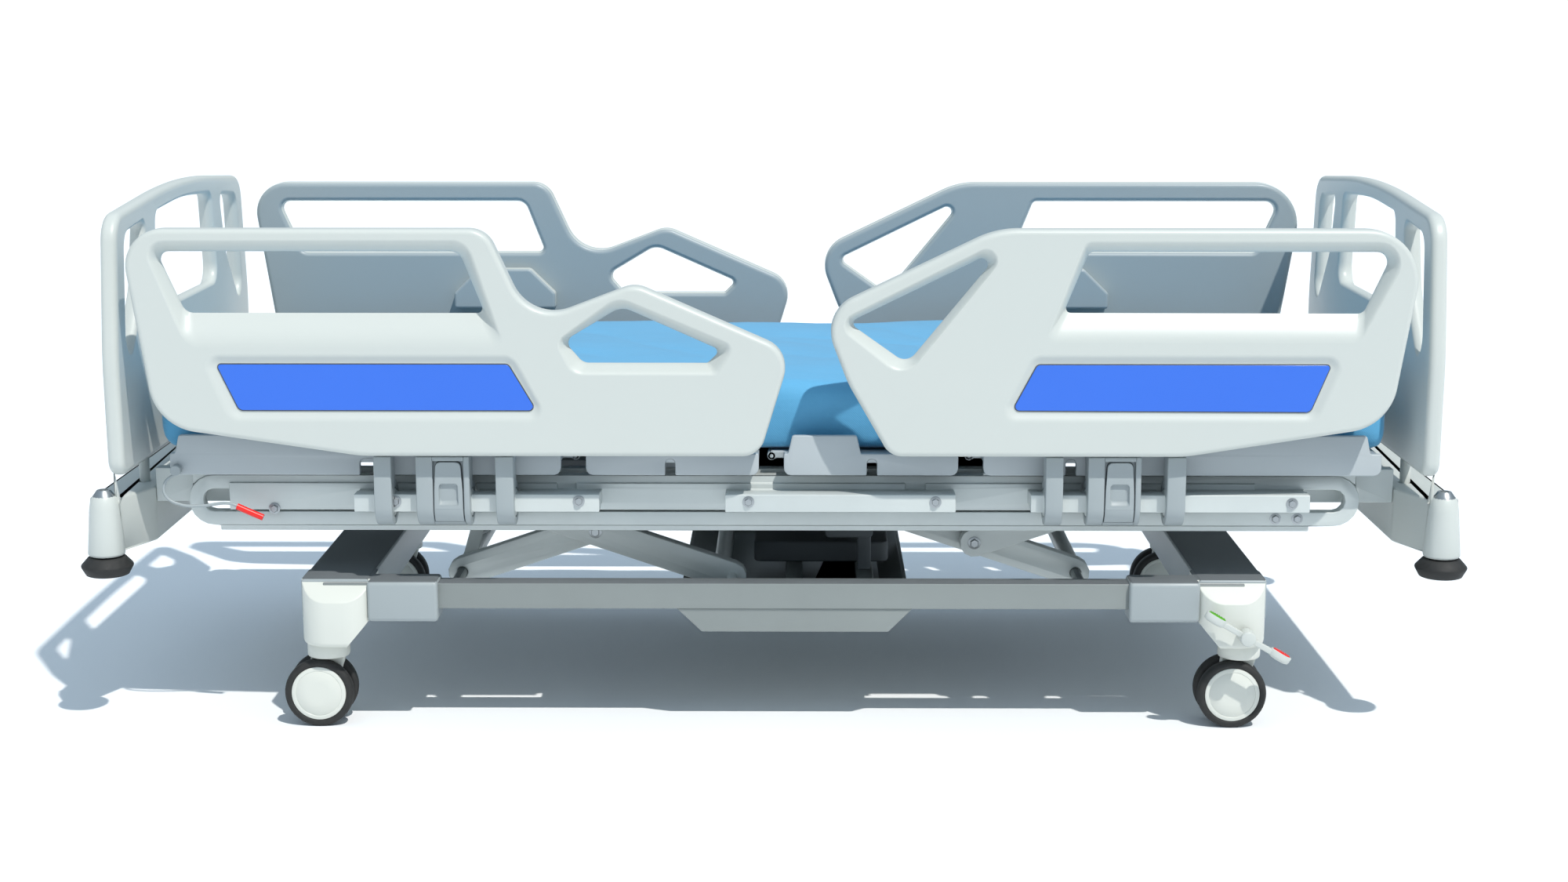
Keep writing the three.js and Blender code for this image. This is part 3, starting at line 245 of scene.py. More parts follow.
def powder_coat(name, colour):
    """Baked powder on steel: orange peel and faint darker blotches."""
    finish = Finish(name, Metallic=0.12, Coat_Weight=0.2, Coat_Roughness=0.3)
    peel = finish.noise(420, 3, 0.6)
    blotches = finish.noise(7, 5, 0.6)
    finish.shaded(colour, blotches, 0.16)
    finish.rough(0.38 + blotches * 0.14 + peel * 0.06)
    finish.bump(peel, 0.12, 0.0005)
    return finish.material


def bare_metal(name, colour):
    """Turned and brushed steel, with fine marks round or along the piece."""
    finish = Finish(name, Metallic=0.95)
    brushed = finish.noise(900, 3, 0.7, finish.stretched(0.06, 1, 1))
    tarnish = finish.noise(24, 4)
    finish.shaded(colour, tarnish, 0.2)
    finish.rough(0.24 + brushed * 0.12 + tarnish * 0.1)
    finish.bump(brushed, 0.08, 0.0002)
    return finish.material


def textured_plastic(name, colour):
    """A dark housing with a coarse leather-like grain."""
    finish = Finish(name, IOR=1.46)
    cells = finish.node(
        "ShaderNodeTexVoronoi", {"feature": "DISTANCE_TO_EDGE"}, {"Vector": finish.place, "Scale": 620.0})
    dust = finish.noise(11, 5, 0.65)
    light = (*[min(1.0, c * 1.5 + 0.02) for c in colour], 1.0)
    finish.mixed((*colour, 1.0), light, dust * 0.5)
    finish.rough(0.5 + dust * 0.16)
    finish.bump(cells, 0.25, 0.0004)
    return finish.material


def rubber(name, colour):
    """Grey-black rubber, chalky where it has been running."""
    finish = Finish(name, IOR=1.5)
    wear = finish.ramp(finish.noise(85, 6, 0.7), (0.42, 0), (0.72, 1))
    chalk = (*[min(1.0, c * 2.1 + 0.03) for c in colour], 1.0)
    finish.mixed((*colour, 1.0), chalk, wear * 0.35)
    finish.rough(0.62 + wear * 0.22)
    finish.bump(finish.noise(700, 3), 0.22, 0.0005)
    return finish.material


def inlay_film(name, colour):
    """A screen-printed film under a clear layer."""
    finish = Finish(name, Coat_Weight=0.35, Coat_Roughness=0.12, IOR=1.5)
    print_grain = finish.noise(1100, 2)
    cloud = finish.noise(5, 3)
    finish.shaded(colour, cloud * 0.5 + print_grain * 0.3, 0.10)
    finish.rough(0.30 + cloud * 0.10 + print_grain * 0.04)
    finish.bump(print_grain, 0.03, 0.0002)
    return finish.material


def woven_cover(name, colour):
    """A coated knit: fine ribs across each other, soft sheen and small creases."""
    finish = Finish(name, Sheen_Weight=0.35, Sheen_Roughness=0.4, IOR=1.42)
    ribs = finish.node(
        "ShaderNodeTexWave", {"wave_type": "BANDS", "bands_direction": "X"},
        {"Vector": finish.place, "Scale": 210.0, "Distortion": 1.2, "Detail": 1.0})
    courses = finish.node(
        "ShaderNodeTexWave", {"wave_type": "BANDS", "bands_direction": "DIAGONAL"},
        {"Vector": finish.place, "Scale": 170.0, "Distortion": 1.0, "Detail": 1.0})
    creases = finish.noise(22, 6, 0.62, finish.stretched(0.6, 1.3, 2.0))
    weave = (ribs + courses) * 0.5
    finish.shaded(colour, weave * 0.5 + creases * 0.5, 0.17)
    finish.rough(0.66 + weave * 0.12)
    finish.bump(weave * 0.35 + creases * 1.4, 0.42, 0.0022)
    return finish.material


def floor_paint(name, colour):
    """Matt studio floor."""
    finish = Finish(name, Specular_IOR_Level=0.1)
    mottle = finish.noise(1.5, 3)
    finish.shaded(colour, mottle, 0.015)
    finish.rough(0.85 + mottle * 0.1)
    return finish.material


FINISHES = {}


def material(name):
    return FINISHES[name]


def mix_finishes():
    """Makes every material once, from the colours in the panel."""
    tint = colours()
    FINISHES.update(
        moulded=moulded_plastic("moulded_white", tint.moulded),
        # painted shade: a darker grey for the rails' inner faces
        lining=moulded_plastic("rail_lining_plastic", tint.lining, 0.42),
        cover=moulded_plastic("cover_white_plastic", tint.cover),
        arm=moulded_plastic("arm_grey_plastic", tint.arm, 0.42),
        deck=moulded_plastic("deck_grey_plastic", tint.deck, 0.40, 0.08),
        bars=powder_coat("grey_frame_steel", tint.bars),
        painted=powder_coat("painted_base_steel", tint.painted),
        steel=bare_metal("brushed_steel", tint.steel),
        # also painted shade on the level tops of the base covers and beams
        dark=textured_plastic("dark_plastic_and_painted_shade", tint.dark),
        tyre=rubber("castor_rubber", tint.tyre),
        inlay=inlay_film("blue_inlay_film", tint.inlay),
        sheet=woven_cover("mattress_cover_knit", tint.sheet),
        red=moulded_plastic("signal_red_plastic", tint.red, 0.34, 0.1),
        green=moulded_plastic("signal_green_rubber", tint.green, 0.5, 0.12),
        gasket=rubber("inlay_gasket", [c * 0.6 for c in tint.dark]),
        floor=floor_paint("studio_floor", tint.floor),
    )


# ---------- outlines ----------
def steps_for(radius):
    """How many chords an arc of this radius gets."""
    return 3 if radius < 6 else 5 if radius < 16 else 8 if radius < 60 else 14


def rounded(corners):
    """The closed outline through corners (u, v, radius), each rounded; a fourth value fixes its chords."""
    points = []
    for i, corner in enumerate(corners):
        here = Vector(corner[:2])
        radius = corner[2] if len(corner) > 2 else 0
        if radius <= 0:
            points.append(here)
            continue
        before = Vector(corners[i - 1][:2]) - here
        after = Vector(corners[(i + 1) % len(corners)][:2]) - here
        half = before.angle(after) / 2
        reach = min(radius / math.tan(half), before.length / 2.02, after.length / 2.02)
        steps = corner[3] if len(corner) > 3 else steps_for(radius)
        start = here + before.normalized() * reach
        end = here + after.normalized() * reach
        swept = math.pi - 2 * half
        centre = here + (before.normalized() + after.normalized()).normalized() * (reach / math.cos(half))
        first, last = start - centre, end - centre
        turn = math.copysign(swept, first.x * last.y - first.y * last.x)
        for k in range(steps + 1):
            a = turn * k / steps
            spoke = Vector((first.x * math.cos(a) - first.y * math.sin(a),
                first.x * math.sin(a) + first.y * math.cos(a)))
            points.append(centre + spoke)
    return points


def area(points):
    return sum(a[0] * b[1] - b[0] * a[1] for a, b in zip(points, points[1:] + points[:1])) / 2


def inset(corners, distance):
    """The corners moved inwards, with radii that keep the band's width; the chords stay as many."""
    sign = math.copysign(1, area(corners))
    moved = []
    for i, corner in enumerate(corners):
        here = Vector(corner[:2])
        along_in = (here - Vector(corners[i - 1][:2])).normalized()
        along_out = (Vector(corners[(i + 1) % len(corners)][:2]) - here).normalized()
        normal_in = Vector((-along_in.y, along_in.x)) * sign
        normal_out = Vector((-along_out.y, along_out.x)) * sign
        both = normal_in + normal_out
        shift = both * (distance / (1 + normal_in.dot(normal_out)))
        turn = sign * (along_in.x * along_out.y - along_in.y * along_out.x)
        radius = corner[2] if len(corner) > 2 else 0
        if radius > 0:
            steps = corner[3] if len(corner) > 3 else steps_for(radius)
            changed = max(radius - distance, 0.4) if turn > 0 else max(radius + distance, 0.4)
            moved.append((here.x + shift.x, here.y + shift.y, changed, steps))
        else:
            moved.append((here.x + shift.x, here.y + shift.y, 0))
    return moved


def rectangle(u0, u1, v0, v1, radius=0):
    return [(u0, v0, radius), (u1, v0, radius), (u1, v1, radius), (u0, v1, radius)]


def between(first, second, share):
    """An outline part way from one to another with as many points."""
    return [a.lerp(b, share) for a, b in zip(first, second)]


# ---------- forms ----------
def on_xz(outer_y, side):
    """Places (along, up, depth) on a panel that faces outwards at a side of the bed."""
    return lambda u, v, depth: (u, side * (outer_y - depth), v)


def on_yz(outer_x, end):
    """Places (across, up, depth) on a panel that faces outwards at an end of the bed."""
    return lambda u, v, depth: (end * (outer_x - depth), u, v)


def on_xy(top):
    """Places (along, across, depth) on a plate seen from above, with depth going down."""
    return lambda u, v, depth: (u, v, top - depth)


def across_x(start):
    """Places (across, up, depth) on a section that is extruded towards the foot."""
    return lambda u, v, depth: (start + depth, u, v)


def ring(bm, outline, place, depth):
    """A closed loop of edges."""
    verts = [bm.verts.new(place(u, v, depth)) for u, v in outline]
    return [bm.edges.new(pair) for pair in zip(verts, verts[1:] + verts[:1])]


def loft(bm, sections, place):
    """Extrudes a loop of edges through (outline, depth) sections; gives the first and last loops."""
    first = edges = ring(bm, sections[0][0], place, sections[0][1])
    for (before, low), (after, high) in zip(sections, sections[1:]):
        goals = {tuple(Vector(place(*a, low))): place(*b, high) for a, b in zip(before, after)}
        made = bmesh.ops.extrude_edge_only(bm, edges=edges)["geom"]
        fresh = {g for g in made if isinstance(g, bmesh.types.BMVert)}
        for vert in fresh:
            vert.co = goals[tuple(vert.co)]
        edges = [g for g in made if isinstance(g, bmesh.types.BMEdge) and fresh.issuperset(g.verts)]
    return first, edges


def capped(bm, edges):
    bmesh.ops.triangle_fill(bm, use_beauty=True, use_dissolve=False, edges=edges)


def quarter(radius, steps):
    """(inset, depth) pairs of a quarter round from the face to the side."""
    turns = [math.pi / 2 * k / steps for k in range(steps + 1)]
    return [(radius * (1 - math.sin(a)), radius * (1 - math.cos(a))) for a in turns]


# shares of the way in and of the depth, from a soft start at the face to a crisp throat
SLOPE = [(0.0, 0.0), (0.08, 0.012), (0.18, 0.055), (0.30, 0.14), (0.45, 0.29), (0.62, 0.50), (0.80, 0.74),
    (1.0, 1.0)]
# shares across a shallow dish with a soft rim and a soft foot
DISH = [(0.0, 0.0), (0.12, 0.03), (0.28, 0.14), (0.45, 0.36), (0.62, 0.62), (0.80, 0.86), (0.92, 0.97),
    (1.0, 1.0)]


FLAT = 0.6  # width of the flat strip inside every edge


def plate(bm, outer, thick, place, edge, back_edge=None, windows=(), recesses=(), steps=4):
    """A flat moulding with rounded edges, windows that narrow through it and blind recesses in its face.

    A window is (rim, throat, back): three outlines of corners. A recess is (rim, floor, depth).
    A narrow flat strip inside every edge keeps the faces flat where they are shaded smooth.
    """
    back_edge = edge if back_edge is None else back_edge
    back = [(i, thick - d) for i, d in reversed(quarter(back_edge, steps))]
    band = [(edge + FLAT, 0.0), *quarter(edge, steps), *back, (back_edge + FLAT, thick)]
    front_fill, back_fill = loft(bm, [(rounded(inset(outer, i)), d) for i, d in band], place)
    for rim, throat, back_rim, depth in windows:
        rim_points, throat_points, back_points = rounded(rim), rounded(throat), rounded(back_rim)
        sections = [(rounded(inset(rim, -FLAT)), 0.0)]
        sections += [(between(rim_points, throat_points, s), depth * d) for s, d in SLOPE]
        for k in range(1, 5):
            a = math.pi / 2 * k / 4
            share = 1 - math.cos(a)
            sections.append((between(throat_points, back_points, share),
                depth + (thick - depth) * math.sin(a)))
        sections.append((rounded(inset(back_rim, -FLAT)), thick))
        first, last = loft(bm, sections, place)
        front_fill = front_fill + first
        back_fill = back_fill + last
    for rim, floor, depth in recesses:
        rim_points, floor_points = rounded(rim), rounded(floor)
        sections = [(rounded(inset(rim, -FLAT)), 0.0)]
        sections += [(between(rim_points, floor_points, s), depth * d) for s, d in DISH]
        sections.append((rounded(inset(floor, FLAT)), depth))
        first, last = loft(bm, sections, place)
        front_fill = front_fill + first
        capped(bm, last)
    capped(bm, front_fill)
    capped(bm, back_fill)


def circle(u, v, radius, steps=32):
    turns = [2 * math.pi * k / steps for k in range(steps)]
    return [(u + radius * math.cos(a), v + radius * math.sin(a), 0) for a in turns]


AXES = {
    "x": (Vector((1, 0, 0)), Vector((0, 0, 1))),
    "y": (Vector((0, 1, 0)), Vector((0, 0, 1))),
    "z": (Vector((0, 0, 1)), Vector((1, 0, 0))),
}


def turned(bm, profile, centre, axis="z", flip=1, steps=None):
    """A full turn of a (radius, height) profile about an axis through centre."""
    along, out = AXES[axis]
    verts = [bm.verts.new(Vector(centre) + out * r + along * (h * flip)) for r, h in profile]
    edges = [bm.edges.new(pair) for pair in zip(verts, verts[1:])]
    bmesh.ops.spin(bm, geom=verts + edges, cent=centre, axis=along, dvec=(0, 0, 0), angle=2 * math.pi,
                   steps=steps or sizes().rounds, use_merge=True, use_duplicate=False)


def hexagon(bm, centre, axis, flip, radius, height):
    """A hexagon head with a turned chamfer, on a plain washer."""
    turned(bm, [(0, 0), (radius * 1.45, 0), (radius * 1.45, 1.2), (radius * 1.3, 1.6), (0, 1.6)], centre,
        axis, flip, 24)
    turned(bm, [(0, 1.2), (radius, 1.2), (radius, height * 0.82), (radius * 0.84, height), (0, height)],
        centre, axis,
           flip, 6)


def rolled(bm, start, end, radius, steps=20):
    """A round bar between two points, with a small chamfer at each end."""
    a, b = Vector(start), Vector(end)
    length = (b - a).length
    lean = 0.18 * radius
    made = bmesh.ops.create_circle(bm, cap_ends=False, segments=steps, radius=radius - lean)["verts"]
    edges = list({e for v in made for e in v.link_edges})
    loops = [edges]
    for size, height in [(radius, lean), (radius, length - lean), (radius - lean, length)]:
        verts = bmesh.ops.create_circle(bm, cap_ends=False, segments=steps, radius=size)["verts"]
        bmesh.ops.translate(bm, verts=verts, vec=(0, 0, height))
        loops.append(list({e for v in verts for e in v.link_edges}))
    verts = list({v for loop in loops for e in loop for v in e.verts})
    for first, second in zip(loops, loops[1:]):
        bmesh.ops.bridge_loops(bm, edges=first + second)
    bmesh.ops.contextual_create(bm, geom=loops[0])
    bmesh.ops.contextual_create(bm, geom=loops[-1])
    turn = Vector((0, 0, 1)).rotation_difference(b - a).to_matrix().to_4x4()
    bmesh.ops.transform(bm, matrix=Matrix.Translation(a) @ turn, verts=verts)


# ---------- pieces ----------
def piece(name, bm, body, finishes, stands_for=(), sharp=42.0):
    """Turns a form in millimetres into a shown piece on a body; finishes is one name or several."""
    finishes = [finishes] if isinstance(finishes, str) else finishes
    bmesh.ops.remove_doubles(bm, verts=bm.verts, dist=1e-4)
    bmesh.ops.recalc_face_normals(bm, faces=bm.faces)
    bmesh.ops.scale(bm, vec=(MM, MM, MM), verts=bm.verts)
    mesh = bpy.data.meshes.new(name)
    for face in bm.faces:
        face.smooth = True
    for edge in bm.edges:
        edge.smooth = not (len(edge.link_faces) == 2 and edge.calc_face_angle(0) > math.radians(sharp))
    bm.to_mesh(mesh)
    bm.free()
    return shown(name, mesh, body, finishes, stands_for)


def shown(name, mesh, body, finishes, stands_for=()):
    made = bpy.data.objects.new(name, mesh)
    bpy.context.scene.collection.objects.link(made)
    for finish in finishes:
        made.data.materials.append(material(finish))
    if body:
        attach(made, body)
    if stands_for:
        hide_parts(*stands_for)
    return made


def painted_from(bm, start, index):
    """Gives every face made since start the material with this index."""
    for face in list(bm.faces)[start:]:
        face.material_index = index


def refined(node, body, finish, width=None, angle=35.0, segments=2):
    """A CAD solid with its triangles joined into flat faces and its edges rounded; it stands for the node."""
    bm = bmesh.new()
    bm.from_mesh(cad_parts[node].data)
    bmesh.ops.remove_doubles(bm, verts=bm.verts, dist=2e-6)
    bmesh.ops.dissolve_limit(bm, angle_limit=math.radians(0.6), use_dissolve_boundaries=False, verts=bm.verts,
                             edges=bm.edges, delimit=set())
    for face in bm.faces:
        face.smooth = True
    mesh = bpy.data.meshes.new(node + "_refined")
    bm.to_mesh(mesh)
    bm.free()
    made = shown(node + "_piece", mesh, body, [finish], [node])
    rounding = made.modifiers.new("Rounded edges", "BEVEL")
    rounding.width = sizes().fillet if width is None else width
    rounding.segments = segments
    rounding.limit_method = "ANGLE"
    rounding.angle_limit = math.radians(angle)
    rounding.use_clamp_overlap = False
    rounding.harden_normals = True
    rounding.miter_outer = "MITER_ARC"
    return made


def added(bm, other):
    """Moves the form in other into bm."""
    scratch = bpy.data.meshes.new("scratch")
    other.to_mesh(scratch)
    other.free()
    bm.from_mesh(scratch)
    bpy.data.meshes.remove(scratch)


def tube(bm, points, radius, sides=5):
    """A bent round wire through points, closed at its ends."""
    curve = bpy.data.curves.new("wire", "CURVE")
    curve.dimensions = "3D"
    curve.bevel_depth = radius
    curve.bevel_resolution = sides
    curve.resolution_u = 10
    spline = curve.splines.new("BEZIER")
    spline.bezier_points.add(len(points) - 1)
    for knot, point in zip(spline.bezier_points, points):
        knot.co = point
        knot.handle_left_type = knot.handle_right_type = "AUTO"
    holder = bpy.data.objects.new("wire", curve)
    bpy.context.scene.collection.objects.link(holder)
    mesh = bpy.data.meshes.new_from_object(holder.evaluated_get(bpy.context.evaluated_depsgraph_get()))
    bm.from_mesh(mesh)
    bmesh.ops.holes_fill(bm, edges=[e for e in bm.edges if e.is_boundary], sides=0)
    bpy.data.objects.remove(holder)
    bpy.data.curves.remove(curve)
    bpy.data.meshes.remove(mesh)


def alike(*outlines):
    """The outlines with the same number of chords at each corner."""
    counts = [max(steps_for(corner[2]) for corner in group) for group in zip(*outlines)]
    return [[(*corner[:3], count) for corner, count in zip(outline, counts)] for outline in outlines]


# ---------- shapes of the bed's mouldings, in millimetres ----------
RAIL_OUTER = 500
RAIL_THICK = 40
HEAD_STRAPS = [(-662, -633), (-592, -503), (-460, -430)]
FOOT_STRAPS = [(452, 481), (522, 610), (653, 684)]
ARM_PIVOT = (437, 394)
ARM_RING = 38  # outer radius of a strap's ring
RAIL_PIVOT = (445, 570)
PIVOT_EYE = 12  # half the width of a strap at the rail
SEAT_OFFSET = 9  # from the middle strap's middle to its latch
SEAT_HALF = 25.5  # half the width of the seat that the latch lies in
SEAT_FRONT = 29  # how far the strap reaches out behind the latch
SEAT_START = 311  # degrees round the ring where the seat starts
SEAT_TOP = 471
RAILS = {
    "head": {
        "straps": HEAD_STRAPS,
        "outline": [
            (-1061, 857, 62), (-465, 857, 44), (-395, 703, 72), (-224, 768, 48),
            (31, 656, 48), (-22, 483, 38), (-677, 483, 200), (-1013, 532, 85),
        ],
        "windows": [
            (
                [(-1026, 840, 26), (-493, 841, 36), (-435, 663, 14), (-957, 663, 38)],
                [(-1005, 819, 14), (-510, 819, 22), (-471, 718, 8), (-961, 718, 20)],
            ),
            (
                [(-356, 674, 20), (-252, 750, 40), (-59, 668, 14), (-89, 618, 16), (-329, 618, 30)],
                [(-342, 672, 14), (-247, 729, 32), (-85, 657, 8), (-107, 636, 8), (-311, 636, 20)],
            ),
        ],
        "recess": [(-940, 654, 24), (-422, 654, 30), (-362, 540, 22), (-893, 540, 34)],
        "floor": [(-913, 638, 7), (-431, 638, 11), (-384, 557.5, 9), (-876, 557.5, 13)],
    },
    "foot": {
        "straps": FOOT_STRAPS,
        "outline": [
            (79, 720, 62), (364, 857, 160), (1061, 857, 85), (1011, 535, 85),
            (678, 483, 200), (193, 483, 35), (123, 605, 200),
        ],
        "windows": [
            (
                [(505, 839, 14), (1041, 839, 38), (955, 672, 22), (442, 672, 12)],
                [(515, 819, 10), (1009, 819, 18), (964, 718, 14), (475, 719, 8)],
            ),
            (
                [(418, 866, 20), (214.5, 610, 38), (97, 704.5, 22)],
                [(377, 827, 10), (220, 635, 21), (124, 703, 9)],
            ),
        ],
        "recess": [(422, 654, 30), (940, 654, 24), (893, 540, 34), (363, 540, 22)],
        "floor": [(431, 638, 11), (914, 638, 7), (881, 556, 13), (389, 558, 9)],
    },
}
WINDOW_BACK = 9
BOARD_POST = (1090, 300)
BOARD_POST_SPAN = (334, 446)
BUMPER = (1117, 455)
BOARD_OUTER = 1104
BOARD_THICK = 28
BOARD_OUTLINE = [
    (-472, 442, 28), (-478, 640, 400), (-446, 873, 52), (0, 906, 3000), (446, 873, 52), (478, 640, 400),
        (472, 442, 28),
]
BOARD_MIDDLE = [(-222, 690, 30), (222, 690, 30), (198, 857, 22), (0, 868, 1500), (-198, 857, 22)]
BOARD_SIDE = [(268, 850, 14), (398, 838, 30), (418, 660, 60), (392, 636, 14), (300, 740, 80)]
CASTOR_X = {"head": -761, "foot": 795}
CASTOR_Y = 400
COVER_TOP = 258
SLEEVE_LOW = 188
SHADE_PAINTED_ABOVE = 240  # a level face above this height gets the dark finish as painted shade under the bed
WHEEL_AXLE = (14, 58.5)
BRAKE = (793, 173)


class BED_OT_materials(Operator):
    """Mix the finishes of every piece"""
    bl_idname = "bed.materials"
    bl_label = "Finishes"

    def execute(self, context):
        mix_finishes()
        return {"FINISHED"}


class BED_OT_side_rails(Operator):
    """Mould the four side rails, each with its windows, its recess and the housing on its inner face"""
    bl_idname = "bed.side_rails"
    bl_label = "Side rails"

    def execute(self, context):
        for end, shape in RAILS.items():
            for side, s in SIDES.items():
                self.rail(end, side, s, shape)
                self.inlay(end, side, s, shape)
        return {"FINISHED"}

    def rail(self, end, side, s, shape):
        bm = bmesh.new()
        windows = []
        for rim, throat in shape["windows"]:
            rim, throat, back = alike(rim, throat, inset(throat, -WINDOW_BACK))
            windows.append((rim, throat, back, sizes().window_depth / MM))
        recess, floor = alike(shape["recess"], shape["floor"])
        plate(
            bm, shape["outline"], RAIL_THICK, on_xz(RAIL_OUTER, s), sizes().panel_edge / MM, 9,
            windows, [(recess, floor, sizes().inlay_depth / MM + 2.5)], 6,
        )
        self.housing(bm, s, shape["straps"])
        bmesh.ops.recalc_face_normals(bm, faces=bm.faces)
        # Faces turned inwards take the second finish, a darker grey painted on as shade.
        for face in bm.faces:
            face.material_index = int(face.normal.y * s < -0.5)
        body = f"side_rail_{end}_{side}"
        piece(f"rail_{end}_{side}", bm, body, ["moulded", "lining"], [body], 60)

    def housing(self, bm, s, straps):
        """The box behind the rail that takes its pivot, and the two lugs under it."""
        left, right, low = straps[0][0] + 10, straps[2][1] - 18, RAIL_PIVOT[1] + 36
        outline = [
            (left, low, 6), (right, low, 6), (right, low + 31, 9), (right - 50, low + 80, 12),
            (left + 50, low + 80, 12), (left, low + 31, 9),
        ]
        inner = RAIL_OUTER - RAIL_THICK
        plate(bm, outline, 28, on_xz(inner, s), 0.8, 5)
        for first, second in zip(straps, straps[1:]):
            middle = (first[1] + second[0]) / 2
            lug = rectangle(middle - 10, middle + 10, RAIL_PIVOT[1] - 14, RAIL_PIVOT[1] + 14, 7)
            plate(bm, lug, 28, on_xz(inner, s), 0.8, 2.5)

    def inlay(self, end, side, s, shape):
        bm = bmesh.new()
        depth = sizes().inlay_depth / MM
        face = inset(shape["floor"], 2.4)
        plate(bm, face, 3, on_xz(RAIL_OUTER - depth, s), 0.8, 0.4)
        faces = len(bm.faces)
        plate(bm, inset(shape["floor"], 0.7), 2, on_xz(RAIL_OUTER - depth - 1.2, s), 0.5, 0.3)
        painted_from(bm, faces, 1)
        piece(f"rail_inlay_{end}_{side}", bm, f"side_rail_{end}_{side}", ["inlay", "gasket"])


class BED_OT_rail_arms(Operator):
    """Make the three straps under each rail, with their rings, and the shaft that joins them"""
    bl_idname = "bed.rail_arms"
    bl_label = "Rail arms"

    def execute(self, context):
        for end, shape in RAILS.items():
            for side, s in SIDES.items():
                bm = bmesh.new()
                first, second, third = shape["straps"]
                seat = sum(second) / 2 + SEAT_OFFSET
                for start, stop in (first, (second[0], seat - SEAT_HALF), (seat + SEAT_HALF, second[1]),
                    third):
                    self.strap(bm, s, start, stop, ARM_RING, 2.2)
                self.strap(bm, s, seat - 25.6, seat + 25.6, SEAT_FRONT, 0.2)
                y, z = RAIL_PIVOT
                rolled(bm, (shape["straps"][0][0] + 2, s * y, z), (shape["straps"][2][1] - 2, s * y, z), 7,
                    24)
                faces = len(bm.faces)
                body = f"rail_arm_{end}_{side}"
                self.bearings(bm, s, shape["straps"])
                painted_from(bm, faces, 1)
                piece(body + "_piece", bm, body, ["arm", "dark"], [body], 50)
        return {"FINISHED"}

    def strap(self, bm, s, start, stop, front, edge):
        """One strap with its ring; front is how far it reaches out from the ring's middle."""
        y, z = ARM_PIVOT
        up_y, up_z = RAIL_PIVOT
        leave = math.acos((up_y - PIVOT_EYE - y) / ARM_RING)
        end = math.radians(360 if front == ARM_RING else SEAT_START)
        turns = [leave + (end - leave) * k / 36 for k in range(37)]
        outline = [(y + ARM_RING * math.cos(a), z + ARM_RING * math.sin(a), 0) for a in turns]
        if front < ARM_RING:
            seat = [math.radians(SEAT_START + (360 - SEAT_START) * k / 8) for k in range(9)]
            outline += [(y + front * math.cos(a), z + front * math.sin(a), 0) for a in seat]
            outline += [(y + front, SEAT_TOP, 0), (y + ARM_RING, SEAT_TOP, 0)]
        outline += [
            (y + ARM_RING, 478, 2), (up_y + PIVOT_EYE, 478, 0),
            (up_y + PIVOT_EYE, up_z + PIVOT_EYE, 11), (up_y - PIVOT_EYE, up_z + PIVOT_EYE, 11),
        ]
        bore = alike(circle(y, z, 25.8, 36), circle(y, z, 24.6, 36), circle(y, z, 25.8, 36))
        place = across_x(start)
        plate(bm, outline, stop - start, lambda u, v, d: place(s * u, v, d), edge, edge, [(*bore, 1.5)], (),
            3)

    def bearings(self, bm, s, straps):
        """The plain bearing lining in each ring."""
        y, z = ARM_PIVOT
        for start, stop in straps:
            wide = stop - start
            profile = [(24.5, 1.5), (23.6, 1.0), (23.6, wide - 1), (24.5, wide - 1.5), (24.5, 1.5)]
            turned(bm, profile, (start, s * y, z), "x", 1, 36)


class BED_OT_latches(Operator):
    """Make the latch in the middle strap of each rail"""
    bl_idname = "bed.latches"
    bl_label = "Rail latches"

    def execute(self, context):
        for end, shape in RAILS.items():
            for side, s in SIDES.items():
                middle = sum(shape["straps"][1]) / 2 + SEAT_OFFSET
                bm = bmesh.new()
                outline = [
                    (middle - 20.5, 469, 9), (middle + 20.5, 469, 9), (middle + 23.5, 420, 60),
                    (middle + 24, 389, 0), (middle - 24, 389, 0), (middle - 23.5, 420, 60),
                ]
                rim = [(middle - 16, 433, 6), (middle + 16, 433, 6), (middle + 17, 392, 5),
                    (middle - 17, 392, 5)]
                floor = [(middle - 14, 431, 5), (middle + 14, 431, 5), (middle + 15, 404, 4),
                    (middle - 15, 404, 4)]
                plate(bm, outline, 7.6, on_xz(475, s), 0.9, 0.6, (), [(*alike(rim, floor), 5.5)], 2)
                self.hook(bm, s, middle)
                faces = len(bm.faces)
                plate(bm, inset(outline, -1.3), 1.0, on_xz(467.2, s), 0.3, 0.3, (), (), 2)
                painted_from(bm, faces, 1)
                name = f"rail_latch_{end}_{side}"
                piece(name + "_piece", bm, name, ["arm", "gasket"], [name], 50)
        return {"FINISHED"}

    def hook(self, bm, s, middle):
        """The lower part of the latch, which follows the ring round."""
        y, z = ARM_PIVOT
        turns = [math.radians(3 - 50 * k / 12) for k in range(13)]
        outer = [(y + 37.9 * math.cos(a), z + 37.9 * math.sin(a), 0) for a in turns]
        inner = [(y + 30.6 * math.cos(a), z + 30.6 * math.sin(a), 0) for a in reversed(turns)]
        place = across_x(middle - 24)
        plate(bm, outer + inner, 48, lambda u, v, d: place(s * u, v, d), 0.9, 0.9, (), (), 2)


